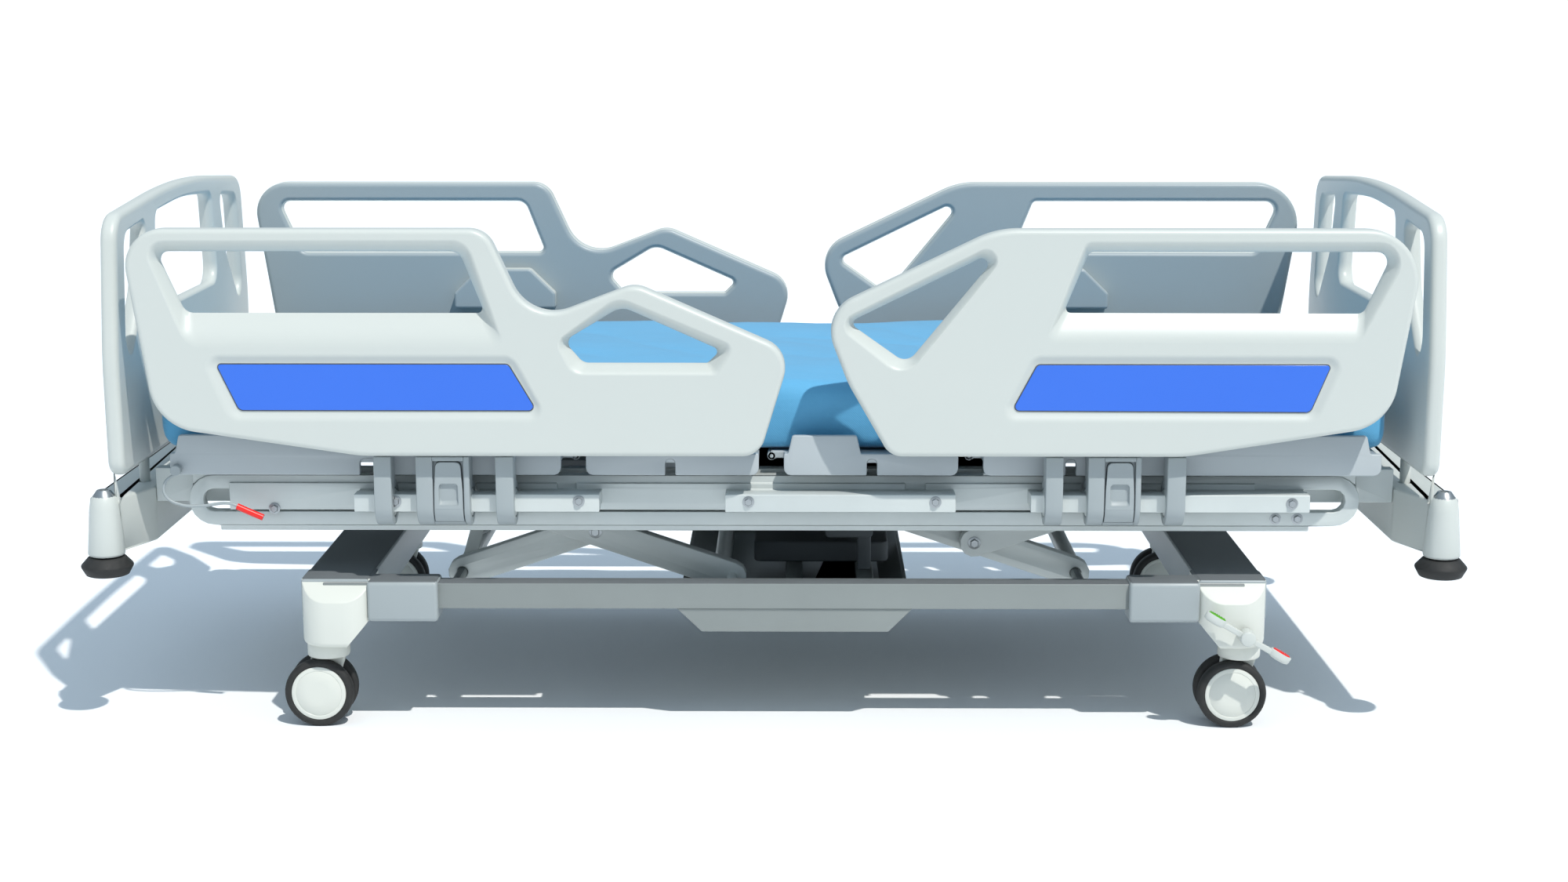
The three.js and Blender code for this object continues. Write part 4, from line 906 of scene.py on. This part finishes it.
class BED_OT_boards(Operator):
    """Mould the head and foot boards with their three windows and two posts"""
    bl_idname = "bed.boards"
    bl_label = "Head and foot boards"

    def execute(self, context):
        mirrored = [(-u, v, r) for u, v, r in BOARD_SIDE]
        for end, s in ENDS.items():
            bm = bmesh.new()
            windows = []
            for opening in (BOARD_MIDDLE, BOARD_SIDE, mirrored):
                rim, throat, back = alike(inset(opening, -7), opening, inset(opening, -7))
                windows.append((rim, throat, back, BOARD_THICK / 2))
            edge = sizes().board_edge / MM
            plate(bm, BOARD_OUTLINE, BOARD_THICK, on_yz(BOARD_OUTER, s), edge, edge, windows, (), 6)
            for side in SIDES.values():
                x, y = s * BOARD_POST[0], side * BOARD_POST[1]
                low, high = BOARD_POST_SPAN
                rolled(bm, (x, y, low), (x, y, high), 9, 24)
            piece(f"{end}board_panel", bm, f"{end}board", "moulded", [f"{end}board"], 60)
        return {"FINISHED"}


class BED_OT_end_beams(Operator):
    """Finish the end beams and add the metal cones, bumper rollers and their flanges"""
    bl_idname = "bed.end_beams"
    bl_label = "End beams and bumpers"

    def execute(self, context):
        for end, s in ENDS.items():
            refined(f"end_beam_{end}", "upper_frame", "moulded", sizes().cover_fillet / 2, 38, 3)
            bm = bmesh.new()
            for side in SIDES.values():
                cone = [
                    (0, 410), (6.5, 410), (7, 417.5), (11, 417.5), (12.4, 416), (20.5, 404.6), (21, 402),
                        (0, 402),
                ]
                turned(bm, cone, (s * BUMPER[0], side * BUMPER[1], 0))
                flange = [(0, 304.4), (17, 304.4), (18, 305.4), (18, 307), (0, 307)]
                turned(bm, flange, (s * BUMPER[0], side * BUMPER[1], 0))
            piece(f"bumper_cones_{end}", bm, "upper_frame", "steel")
            for side, t in SIDES.items():
                body = f"bumper_roller_{end}_{side}"
                bm = bmesh.new()
                profile = [
                    (8.8, 273), (33, 273), (35.5, 274), (42.4, 286.5), (43, 289), (42.2, 291.2), (31.5, 303),
                    (29.5, 304), (8.8, 304), (8.8, 273),
                ]
                turned(bm, profile, (s * BUMPER[0], t * BUMPER[1], 0))
                piece(body + "_rubber", bm, body, "tyre", [body])
        return {"FINISHED"}


class BED_OT_base_covers(Operator):
    """Mould the two covers of the base: a pod over each castor, a sleeve over each beam and a bridge"""
    bl_idname = "bed.base_covers"
    bl_label = "Base covers"

    def execute(self, context):
        for end, inward in (("head", 1), ("foot", -1)):
            bm = bmesh.new()
            x = CASTOR_X[end]
            for s in SIDES.values():
                added(bm, self.pod(x + inward * 22, s, inward))
            pods = len(bm.faces)
            for s in SIDES.values():
                self.sleeve(bm, x + inward * 76, x + inward * 195, s)
            self.bridge_box(bm, x - inward * 38, x + inward * 78)
            painted_from(bm, pods, 1)
            bmesh.ops.recalc_face_normals(bm, faces=bm.faces)
            # Level faces high on the covers take the dark finish: painted shade under the bed.
            for face in bm.faces:
                if face.normal.z > 0.8 and face.calc_center_median().z > SHADE_PAINTED_ABOVE:
                    face.material_index = 2
            piece(f"base_cover_{end}_moulding", bm, "base", ["cover", "arm", "dark"], [f"base_cover_{end}"],
                38)
        return {"FINISHED"}

    def pod(self, middle, s, inward):
        """A round-cornered pod with a sloping top corner in front and a sloping lower corner inwards."""
        bm = bmesh.new()
        outline = [(middle - 60, 345, 20), (middle + 60, 345, 20), (middle + 60, 462, 46),
            (middle - 60, 462, 46)]
        plate(bm, [(u, s * v, r) for u, v, r in outline], 112, on_xy(COVER_TOP), 1, 9, (), (), 4)
        self.shaved(bm, Vector((0, s * 424, 259)), Vector((0, s * 30, 33)).normalized(), 6)
        low = Vector((middle + inward * 58, 0, 192))
        self.shaved(bm, low, Vector((inward * 1.0, 0, -0.85)).normalized(), 7)
        return bm

    def shaved(self, bm, on, normal, blend):
        """Cuts off what lies beyond a plane and rounds the new edge."""
        cut = bmesh.ops.bisect_plane(
            bm, geom=bm.verts[:] + bm.edges[:] + bm.faces[:], dist=1e-4, plane_co=on, plane_no=normal,
            clear_outer=True, clear_inner=False)
        rim = [g for g in cut["geom_cut"] if isinstance(g, bmesh.types.BMEdge)]
        bmesh.ops.contextual_create(bm, geom=rim)
        bmesh.ops.recalc_face_normals(bm, faces=bm.faces)
        edges = [e for e in rim if e.is_valid and len(e.link_faces) == 2
            and max(v.co.z for v in e.verts) < COVER_TOP - 2]
        bmesh.ops.bevel(bm, geom=edges, offset=blend, segments=4, profile=0.5, affect="EDGES", material=-1,
                        clamp_overlap=True)

    def sleeve(self, bm, start, stop, s):
        section = [(383, SLEEVE_LOW, 8), (447, SLEEVE_LOW, 8), (447, 258.4, 9), (383, 258.4, 9)]
        low, high = min(start, stop), max(start, stop)
        place = across_x(low)
        plate(bm, section, high - low, lambda u, v, d: place(s * u, v, d), 6, 6, (), (), 4)

    def bridge_box(self, bm, start, stop):
        low, high = min(start, stop), max(start, stop)
        section = rectangle(low, high, SLEEVE_LOW, 258.8, 6)
        plate(bm, section, 860, on_xz(430, -1), 4, 4, (), (), 3)


class BED_OT_base(Operator):
    """Finish the base beams, the tray under them and the control box"""
    bl_idname = "bed.base"
    bl_label = "Base"

    def execute(self, context):
        made = refined("base_frame", "base", "painted")
        made.data.materials.append(material("dark"))
        # Level top faces of the base beams take the dark finish as painted shade under the bed.
        for face in made.data.polygons:
            face.material_index = int(face.normal.z > 0.9 and face.center.z > 0.24)
        refined("base_tray", "base", "painted", 0.0008)
        refined("control_box", "base", "dark", 0.004, 35, 3)
        return {"FINISHED"}


class BED_OT_castors(Operator):
    """Turn the castors: collar, fork, two tyres and their white caps"""
    bl_idname = "bed.castors"
    bl_label = "Castors"

    def execute(self, context):
        for end, x in CASTOR_X.items():
            for side, s in SIDES.items():
                self.fork(f"castor_{end}_{side}", f"castor_fork_{end}_{side}", x, s)
                self.wheels(f"castor_wheels_{end}_{side}", x - WHEEL_AXLE[0], s)
        return {"FINISHED"}

    def fork(self, body, node, x, s):
        bm = bmesh.new()
        trail, axle = WHEEL_AXLE
        collar = [(0, 145), (33.5, 145), (35.4, 144.2), (36, 142.5), (36, 122), (34.8, 119.8), (32, 119),
            (0, 119)]
        turned(bm, collar, (x, s * CASTOR_Y, 0))
        turned(bm, [(0, 156), (7, 156), (8, 155), (8, 144), (0, 144)], (x, s * CASTOR_Y, 0), steps=24)
        web = [(-30, 121, 0), (30, 121, 0), (15, 74, 12), (-trail, axle - 16, 15), (-34, 78, 14)]
        web = [(x + u, v, r) for u, v, r in web]
        plate(bm, web, 18, on_xz(CASTOR_Y + 9, 1) if s > 0 else on_xz(CASTOR_Y + 9, -1), 2.5, 2.5, (), (), 3)
        faces = len(bm.faces)
        for t in (-1, 1):
            profile = [(0, 8.6), (11, 8.6), (12, 9.2), (12, 10.6), (0, 10.6)]
            turned(bm, profile, (x - trail, s * CASTOR_Y, axle), "y", t, 24)
        painted_from(bm, faces, 1)
        piece(body + "_fork", bm, body, ["cover", "steel"], [node], 50)

    def wheels(self, body, x, s):
        bm = bmesh.new()
        axle = WHEEL_AXLE[1]
        middle = s * CASTOR_Y
        tyre = [
            (0, 4.6), (46.0, 4.6), (46.2, 8.2), (47.5, 9.8), (50.5, 10.9), (54.5, 10.4), (57.4, 8.0),
                (58.5, 4.5), (58.5, -4.5), (57.4, -8.0),
            (54.5, -10.4), (50, -10.9), (46, -9.0), (40, -8.0), (14, -8.0), (12, -9.5), (0, -9.5),
        ]
        for t in (-1, 1):
            turned(bm, tyre, (x, middle + t * 22, axle), "y", t, 64)
        rolled(bm, (x, middle - 30, axle), (x, middle + 30, axle), 6)
        faces = len(bm.faces)
        cap = [
            (0, 11.0), (18, 11.0), (38.2, 10.7), (39.0, 10.0), (39.8, 10.7), (44.6, 10.5), (46.0, 9.9),
                (46.6, 8.4),
            (46.6, 5), (0, 5),
        ]
        for t in (-1, 1):
            turned(bm, cap, (x, middle + t * 22, axle), "y", t, 64)
        painted_from(bm, faces, 1)
        spokes = len(bm.faces)
        for t in (-1, 1):
            for k in range(12):
                self.rib(bm, x, middle + t * 13.2, axle, 2 * math.pi * k / 12)
        painted_from(bm, spokes, 0)
        piece(body + "_tyres", bm, body, ["tyre", "cover"], [body], 42)

    def rib(self, bm, x, y, z, turn):
        """A radial rib on the hidden face of a wheel."""
        verts = bmesh.ops.create_cube(bm, size=1)["verts"]
        bmesh.ops.scale(bm, vec=(26, 1.4, 1.8), verts=verts)
        bmesh.ops.translate(bm, vec=(28, 0, 0), verts=verts)
        bmesh.ops.rotate(bm, cent=(0, 0, 0), matrix=Matrix.Rotation(turn, 3, "Y"), verts=verts)
        bmesh.ops.translate(bm, vec=(x, y, z), verts=verts)


class BED_OT_brake(Operator):
    """Make the brake shaft and its two pedals, each with a green and a red foot pad"""
    bl_idname = "bed.brake"
    bl_label = "Brake"

    REACH = (-63, 63)

    def execute(self, context):
        x, z = BRAKE
        bm = bmesh.new()
        rolled(bm, (x, -470, z), (x, 470, z), 7, 24)
        piece("brake_shaft_bar", bm, "brake", "steel", ["brake_shaft"])
        for side, s in SIDES.items():
            bm = bmesh.new()
            hub = [(0, 466.5), (12.6, 466.5), (13.5, 467.5), (13.5, 480), (12.9, 492), (12.2, 494.3),
                (10.8, 495), (0, 495)]
            turned(bm, hub, (x, 0, z), "y", s, 36)
            for reach in self.REACH:
                self.bar(bm, x, z, reach, s)
                self.cup(bm, x, z, reach, s)
            for index, reach in enumerate(self.REACH):
                faces = len(bm.faces)
                self.pad(bm, x, z, reach, s)
                painted_from(bm, faces, index + 1)
            piece(f"brake_pedal_{side}_piece", bm, "brake", ["moulded", "green", "red"],
                [f"brake_pedal_{side}"], 50)
        return {"FINISHED"}

    def lay(self, form, bm, x, z, s):
        """Turns what was made level onto the pedal's slope and moves it into bm."""
        bmesh.ops.rotate(form, cent=(0, 0, 0), matrix=Matrix.Rotation(math.radians(30), 3, "Y"),
            verts=form.verts)
        bmesh.ops.translate(form, vec=(x, s * 483.5, z), verts=form.verts)
        added(bm, form)

    def bar(self, bm, x, z, reach, s):
        form = bmesh.new()
        verts = bmesh.ops.create_cube(form, size=1)["verts"]
        bmesh.ops.scale(form, vec=(abs(reach) - 8, 10, 9.5), verts=verts)
        bmesh.ops.translate(form, vec=(reach / 2, 0, 0), verts=verts)
        bmesh.ops.bevel(form, geom=form.edges[:], offset=1.6, segments=3, profile=0.5, affect="EDGES",
            material=-1)
        self.lay(form, bm, x, z, s)

    def cup(self, bm, x, z, reach, s):
        form = bmesh.new()
        wall = [(0, -7), (8.5, -7), (11.2, -5.4), (12, -2.5), (12, 6), (11.5, 7), (10.7, 7), (10.3, 5.6),
            (0, 5.6)]
        turned(form, wall, (0, 0, 0), "z", 1, 40)
        self.oval(form, reach)
        self.lay(form, bm, x, z, s)

    def pad(self, bm, x, z, reach, s):
        form = bmesh.new()
        turned(form, [(0, 4), (9.9, 4), (9.9, 7.2), (9.2, 7.9), (0, 7.9)], (0, 0, 0), "z", 1, 40)
        for k in range(-3, 4):
            half = math.sqrt(9.4 ** 2 - (k * 2.6) ** 2)
            verts = bmesh.ops.create_cube(form, size=1)["verts"]
            bmesh.ops.scale(form, vec=(1.1, 2 * half, 1.4), verts=verts)
            bmesh.ops.translate(form, vec=(k * 2.6, 0, 8.1), verts=verts)
        self.oval(form, reach)
        self.lay(form, bm, x, z, s)

    def oval(self, form, reach):
        """Stretches a round form along the pedal and moves it out to its reach."""
        bmesh.ops.scale(form, vec=(1.62, 0.96, 1), verts=form.verts)
        bmesh.ops.translate(form, vec=(reach, 0, 0), verts=form.verts)


class BED_OT_levers(Operator):
    """Bend the red release levers under the backrest"""
    bl_idname = "bed.levers"
    bl_label = "Release levers"

    WIRE = [(-1003, 440), (-1020, 424), (-1019, 403), (-995, 388), (-960, 386), (-912, 390), (-898, 385)]
    GRIP = [(-900, 385.2), (-880, 376), (-857, 366)]

    def execute(self, context):
        for side, s in SIDES.items():
            y = s * 434
            bm = bmesh.new()
            tube(bm, [(x, y, z) for x, z in self.GRIP], 5.5)
            faces = len(bm.faces)
            tube(bm, [(x, y, z) for x, z in self.WIRE], 2.6)
            profile = [(0, -7), (8, -7), (9, -6), (9, 6), (8, 7), (0, 7)]
            turned(bm, profile, (-1000, y, 447), "y", s, 32)
            painted_from(bm, faces, 1)
            name = f"cpr_lever_{side}"
            piece(name + "_piece", bm, name, ["red", "arm"], [name])
        return {"FINISHED"}


class BED_OT_frame(Operator):
    """Finish the upper frame, the lift arms and the platform sections"""
    bl_idname = "bed.frame"
    bl_label = "Frame, lift arms and platform"

    ARMS = ["lift_arm_head_short", "lift_arm_head_long", "lift_arm_foot_long", "lift_arm_foot_short"]
    DECKS = {"backrest_deck": "backrest", "seat_deck": "upper_frame", "thigh_deck": "thigh",
        "calf_deck": "calf"}

    def execute(self, context):
        refined("upper_frame", "upper_frame", "bars")
        for name in self.ARMS:
            refined(name, name, "bars")
        for name, body in self.DECKS.items():
            refined(name, body, "deck", 0.0022, 38, 3)
        return {"FINISHED"}


class BED_OT_actuators(Operator):
    """Finish the motors and their push rods"""
    bl_idname = "bed.actuators"
    bl_label = "Actuators"

    MOTORS = {"lift_motor_head": "base", "lift_motor_foot": "base", "back_motor": "upper_frame",
              "knee_motor": "upper_frame"}
    RODS = ["lift_rod_head", "lift_rod_foot", "back_rod", "knee_rod"]

    def execute(self, context):
        for name, body in self.MOTORS.items():
            refined(name, body, "dark", 0.0025, 35, 3)
        for name in self.RODS:
            refined(name, name, "steel", 0.0008)
        return {"FINISHED"}


class BED_OT_fasteners(Operator):
    """Put in the hexagon bolts along the frame and at the lift crossings"""
    bl_idname = "bed.fasteners"
    bl_label = "Bolts"

    CROSSING_Y = 315
    FRAME = [(-630, 453, 398), (-324, 453, 399), (-41, 453, 398), (271, 453, 398), (865, 453, 396),
             (-846, 394, 373), (851, 388, 356), (888, 388, 356)]

    def execute(self, context):
        radius = sizes().bolt_head / MM / 2
        bm = bmesh.new()
        for s in SIDES.values():
            for x, y, z in self.FRAME:
                hexagon(bm, (x, s * y, z), "y", s, radius, 6)
        piece("frame_bolts", bm, "upper_frame", "steel")
        for body, x, z in (("lift_arm_head_long", -309, 315), ("lift_arm_foot_short", 347, 296)):
            bm = bmesh.new()
            for s in SIDES.values():
                hexagon(bm, (x, s * self.CROSSING_Y, z), "y", s, radius * 1.15, 7)
            piece(body + "_bolts", bm, body, "steel")
        return {"FINISHED"}


class BED_OT_mattress(Operator):
    """Sew and fill the mattress, fold its loose cover and cut it where two bends part"""
    bl_idname = "bed.mattress"
    bl_label = "Mattress"

    LENGTH = (-1046, 1048)
    HALF = 400
    LOW, HIGH = 473, 588
    EDGE = 30
    CUTS = (-169, 164)
    BENDS = ((-335, "backrest", "upper_frame"), (-3, "upper_frame", "thigh"), (331, "thigh", "calf"))
    NODES = (("mattress_back", "mattress_seat"), ("mattress_thigh",), ("mattress_calf",))
    HINGE_Z = 462
    BEND_HALF = 105
    # limits in metres: the platform, its lips, the rails and the boards
    FLOOR, CEILING = 0.4708, 0.6065
    LIP_TOP, INSIDE_LIPS, INSIDE_RAILS = 0.508, 0.4085, 0.4225
    HEAD_END, FOOT_END = -1.060, 1.062
    FRAMES = 16

    def execute(self, context):
        body = self.remeshed(self.pattern())
        body = self.filled(body)
        self.folded(body)
        self.divided(body)
        return {"FINISHED"}

    def pattern(self):
        """The flat-sided pattern that the filling swells."""
        bm = bmesh.new()
        verts = bmesh.ops.create_cube(bm, size=1)["verts"]
        start, stop = self.LENGTH
        bmesh.ops.scale(bm, vec=(stop - start, 2 * self.HALF, self.HIGH - self.LOW), verts=verts)
        bmesh.ops.translate(bm, vec=((start + stop) / 2, 0, (self.LOW + self.HIGH) / 2), verts=verts)
        bmesh.ops.bevel(bm, geom=bm.edges[:], offset=self.EDGE, segments=5, profile=0.5, affect="EDGES",
            material=-1)
        bmesh.ops.scale(bm, vec=(MM, MM, MM), verts=bm.verts)
        mesh = bpy.data.meshes.new("mattress_pattern")
        bm.to_mesh(mesh)
        bm.free()
        return mesh

    def evaluated(self, holder):
        graph = bpy.context.evaluated_depsgraph_get()
        return bpy.data.meshes.new_from_object(holder.evaluated_get(graph))

    def remeshed(self, mesh):
        holder = bpy.data.objects.new("mattress_pattern", mesh)
        bpy.context.scene.collection.objects.link(holder)
        voxels = holder.modifiers.new("Voxels", "REMESH")
        voxels.mode = "VOXEL"
        voxels.voxel_size = sizes().mattress_grain
        result = self.evaluated(holder)
        bpy.data.objects.remove(holder)
        return result

    def filled(self, mesh):
        """Blows the cover up and caps how far it may move."""
        holder = bpy.data.objects.new("mattress_filling", mesh.copy())
        bpy.context.scene.collection.objects.link(holder)
        cloth = holder.modifiers.new("Cloth", "CLOTH").settings
        cloth.quality = 5
        cloth.use_pressure = True
        cloth.uniform_pressure_force = sizes().inflation
        cloth.effector_weights.gravity = 0
        cloth.tension_stiffness = 12
        cloth.compression_stiffness = 12
        cloth.bending_stiffness = 0.3
        scene = bpy.context.scene
        for step in range(1, self.FRAMES + 1):
            scene.frame_set(step)
        swollen = self.evaluated(holder)
        bpy.data.objects.remove(holder)
        scene.frame_set(1)
        cap = sizes().mattress_swell
        for vertex, moved in zip(mesh.vertices, swollen.vertices):
            shift = moved.co - vertex.co
            far = shift.length
            if far > 0:
                vertex.co += shift * (cap * math.tanh(far / cap) / far)
        return mesh

    def folded(self, mesh):
        """Lays the loose cover in folds, ripples its sides and ends and keeps it on the platform."""
        depth = sizes().fold_depth
        normals = [v.normal.copy() for v in mesh.vertices]
        for vertex, normal in zip(mesh.vertices, normals):
            x, y, z = vertex.co
            top = max(0.0, normal.z)
            side = 1 - abs(normal.z)
            sweep = noise.noise((x * 3.1 + y * 1.7, y * 2.6 - x * 0.6, 2.4))
            ripple = noise.noise((x * 7.5 - y * 2.2, y * 5.0, 8.1))
            crease = (1 - abs(noise.noise((x * 4.3 + y * 3.4, y * 3.0 - x, 5.2)))) ** 5
            drape = noise.noise((x * 9.0 + z * 7.0, y, 1.3 + z * 4.0))
            tuck = (1 - abs(noise.noise((x * 5.5 - z * 9.0, y, z * 6.0)))) ** 4
            rise = top * (0.7 * sweep + 0.35 * ripple - 0.8 * crease + 0.25)
            bulge = side * (0.8 * drape - 0.9 * tuck + 0.2)
            vertex.co += normal * depth * (rise + bulge)
            self.kept(vertex)

    def kept(self, vertex):
        """Keeps a point off the platform, its lips and the rails."""
        vertex.co.z = min(max(vertex.co.z, self.FLOOR), self.CEILING)
        reach = self.INSIDE_LIPS if vertex.co.z < self.LIP_TOP else self.INSIDE_RAILS
        vertex.co.y = min(max(vertex.co.y, -reach), reach)
        vertex.co.x = min(max(vertex.co.x, self.HEAD_END), self.FOOT_END)

    def divided(self, mesh):
        bm = bmesh.new()
        bm.from_mesh(mesh)
        bmesh.ops.subdivide_edges(bm, edges=bm.edges, cuts=1, use_grid_fill=True, smooth=1.0)
        bmesh.ops.smooth_vert(bm, verts=bm.verts, factor=0.5, use_axis_x=True, use_axis_y=True,
            use_axis_z=True)
        for at in self.CUTS:
            bmesh.ops.bisect_plane(bm, geom=bm.verts[:] + bm.edges[:] + bm.faces[:], dist=1e-5,
                                   plane_co=(at * MM, 0, 0), plane_no=(1, 0, 0))
        bmesh.ops.recalc_face_normals(bm, faces=bm.faces)
        bm.normal_update()
        whole = {tuple(round(c, 6) for c in v.co): v.normal.copy() for v in bm.verts}
        full = bpy.data.meshes.new("mattress_full")
        bm.to_mesh(full)
        bm.free()
        limits = [-9000, *self.CUTS, 9000]
        names = ("mattress_back_cover", "mattress_thigh_cover", "mattress_calf_cover")
        for name, low, high, bend, nodes in zip(names, limits, limits[1:], self.BENDS, self.NODES):
            self.section(name, full, low * MM, high * MM, bend, nodes, whole)
        bpy.data.meshes.remove(full)

    def section(self, name, full, low, high, bend, nodes, normals):
        bm = bmesh.new()
        bm.from_mesh(full)
        for at, keep in ((low, 1), (high, -1)):
            bmesh.ops.bisect_plane(bm, geom=bm.verts[:] + bm.edges[:] + bm.faces[:], dist=1e-5,
                                   plane_co=(at, 0, 0), plane_no=(-keep, 0, 0), clear_outer=True)
            rim = [e for e in bm.edges if e.is_boundary]
            if rim:
                bmesh.ops.contextual_create(bm, geom=rim)
        for face in bm.faces:
            face.smooth = True
        mesh = bpy.data.meshes.new(name)
        bm.to_mesh(mesh)
        bm.free()
        blank = Vector((0, 0, 0))
        mesh.normals_split_custom_set_from_vertices(
            [normals.get(tuple(round(c, 6) for c in v.co), blank) for v in mesh.vertices])
        made = bpy.data.objects.new(name, mesh)
        bpy.context.scene.collection.objects.link(made)
        made.data.materials.append(material("sheet"))
        hinge, first, second = bend
        start, stop = [((hinge + way * self.BEND_HALF) * MM, 0, self.HINGE_Z * MM) for way in (-1, 1)]
        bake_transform(made)
        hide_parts(*nodes)


class BED_OT_stage(Operator):
    """Set the floor, the lights and the camera"""
    bl_idname = "bed.stage"
    bl_label = "Stage"

    TOWARDS_SUN = (0.297, -0.457, 0.839)
    CAMERA_PLACE = (0.0426, -4.354, 1.235)
    CAMERA_DOWN, CAMERA_YAW = 0.18589, -0.0062
    HORIZON = (0.42, 0.49, 0.54, 1)
    ZENITH = (0.62, 0.80, 0.98, 1)
    BACKDROP = (1.6, 1.6, 1.6, 1)

    def execute(self, context):
        scene = context.scene
        bm = bmesh.new()
        bmesh.ops.create_grid(bm, x_segments=8, y_segments=8, size=600)
        mesh = bpy.data.meshes.new("studio_floor")
        bm.to_mesh(mesh)
        bm.free()
        floor = bpy.data.objects.new("studio_floor", mesh)
        floor.data.materials.append(material("floor"))
        scene.collection.objects.link(floor)
        world = bpy.data.worlds.new("studio_sky")
        world.use_nodes = True
        self.sky(world.node_tree)
        scene.world = world
        sun = bpy.data.lights.new("key_light", "SUN")
        sun.energy = 3.0
        sun.angle = math.radians(1.0)
        sun.color = (1.0, 0.975, 0.93)
        key = bpy.data.objects.new("key_light", sun)
        key.rotation_euler = Vector(self.TOWARDS_SUN).to_track_quat("Z", "Y").to_euler()
        scene.collection.objects.link(key)
        lens = bpy.data.cameras.new("camera")
        lens.lens = 54.9
        lens.sensor_width = 36
        lens.clip_end = 100
        camera = bpy.data.objects.new("camera", lens)
        camera.location = self.CAMERA_PLACE
        down, yaw = self.CAMERA_DOWN, self.CAMERA_YAW
        forward = Vector((math.sin(yaw) * math.cos(down), math.cos(yaw) * math.cos(down), -math.sin(down)))
        camera.rotation_euler = forward.to_track_quat("-Z", "Y").to_euler()
        scene.collection.objects.link(camera)
        scene.camera = camera
        scene.view_settings.view_transform = "Standard"
        return {"FINISHED"}

    def sky(self, tree):
        """A pale blue dome, darker at the horizon, in front of a white backdrop."""
        place = tree.nodes.new("ShaderNodeTexCoord")
        height = tree.nodes.new("ShaderNodeSeparateXYZ")
        share = tree.nodes.new("ShaderNodeMapRange")
        share.inputs["From Min"].default_value = 0.0
        share.inputs["From Max"].default_value = 0.8
        dome = tree.nodes.new("ShaderNodeMix")
        dome.data_type = "RGBA"
        dome.inputs[6].default_value = self.HORIZON
        dome.inputs[7].default_value = self.ZENITH
        tree.links.new(place.outputs["Generated"], height.inputs[0])
        tree.links.new(height.outputs["Z"], share.inputs["Value"])
        tree.links.new(share.outputs["Result"], dome.inputs[0])
        ray = tree.nodes.new("ShaderNodeLightPath")
        seen = tree.nodes.new("ShaderNodeMix")
        seen.data_type = "RGBA"
        seen.inputs[7].default_value = self.BACKDROP
        tree.links.new(ray.outputs["Is Camera Ray"], seen.inputs[0])
        tree.links.new(dome.outputs[2], seen.inputs[6])
        tree.links.new(seen.outputs[2], tree.nodes["Background"].inputs["Color"])
        tree.nodes["Background"].inputs["Strength"].default_value = 0.75


class BED_PT_panel(Panel):
    """Lists the bed's sizes, colours and pieces"""
    bl_idname = "BED_PT_panel"
    bl_label = "Hospital bed"
    bl_space_type = "VIEW_3D"
    bl_region_type = "UI"
    bl_category = "Bed"

    def draw(self, context):
        layout = self.layout
        for group in (context.scene.bed_sizes, context.scene.bed_colours):
            column = layout.column(align=True)
            for name in group.__annotations__:
                column.prop(group, name)
        for operator in OPERATORS:
            layout.operator(operator.bl_idname)


OPERATORS = (
    BED_OT_materials,
    BED_OT_stage,
    BED_OT_side_rails,
    BED_OT_rail_arms,
    BED_OT_latches,
    BED_OT_boards,
    BED_OT_end_beams,
    BED_OT_base_covers,
    BED_OT_base,
    BED_OT_castors,
    BED_OT_brake,
    BED_OT_levers,
    BED_OT_frame,
    BED_OT_actuators,
    BED_OT_fasteners,
    BED_OT_mattress,
)
CLASSES = (BedSizes, BedColours, *OPERATORS, BED_PT_panel)


def register():
    for cls in CLASSES:
        bpy.utils.register_class(cls)
    bpy.types.Scene.bed_sizes = PointerProperty(type=BedSizes)
    bpy.types.Scene.bed_colours = PointerProperty(type=BedColours)


def unregister():
    del bpy.types.Scene.bed_colours
    del bpy.types.Scene.bed_sizes
    for cls in reversed(CLASSES):
        bpy.utils.unregister_class(cls)


def main():
    register()
    for operator in OPERATORS:
        group, name = operator.bl_idname.split(".")
        getattr(getattr(bpy.ops, group), name)()


if __name__ == "__main__":
    main()
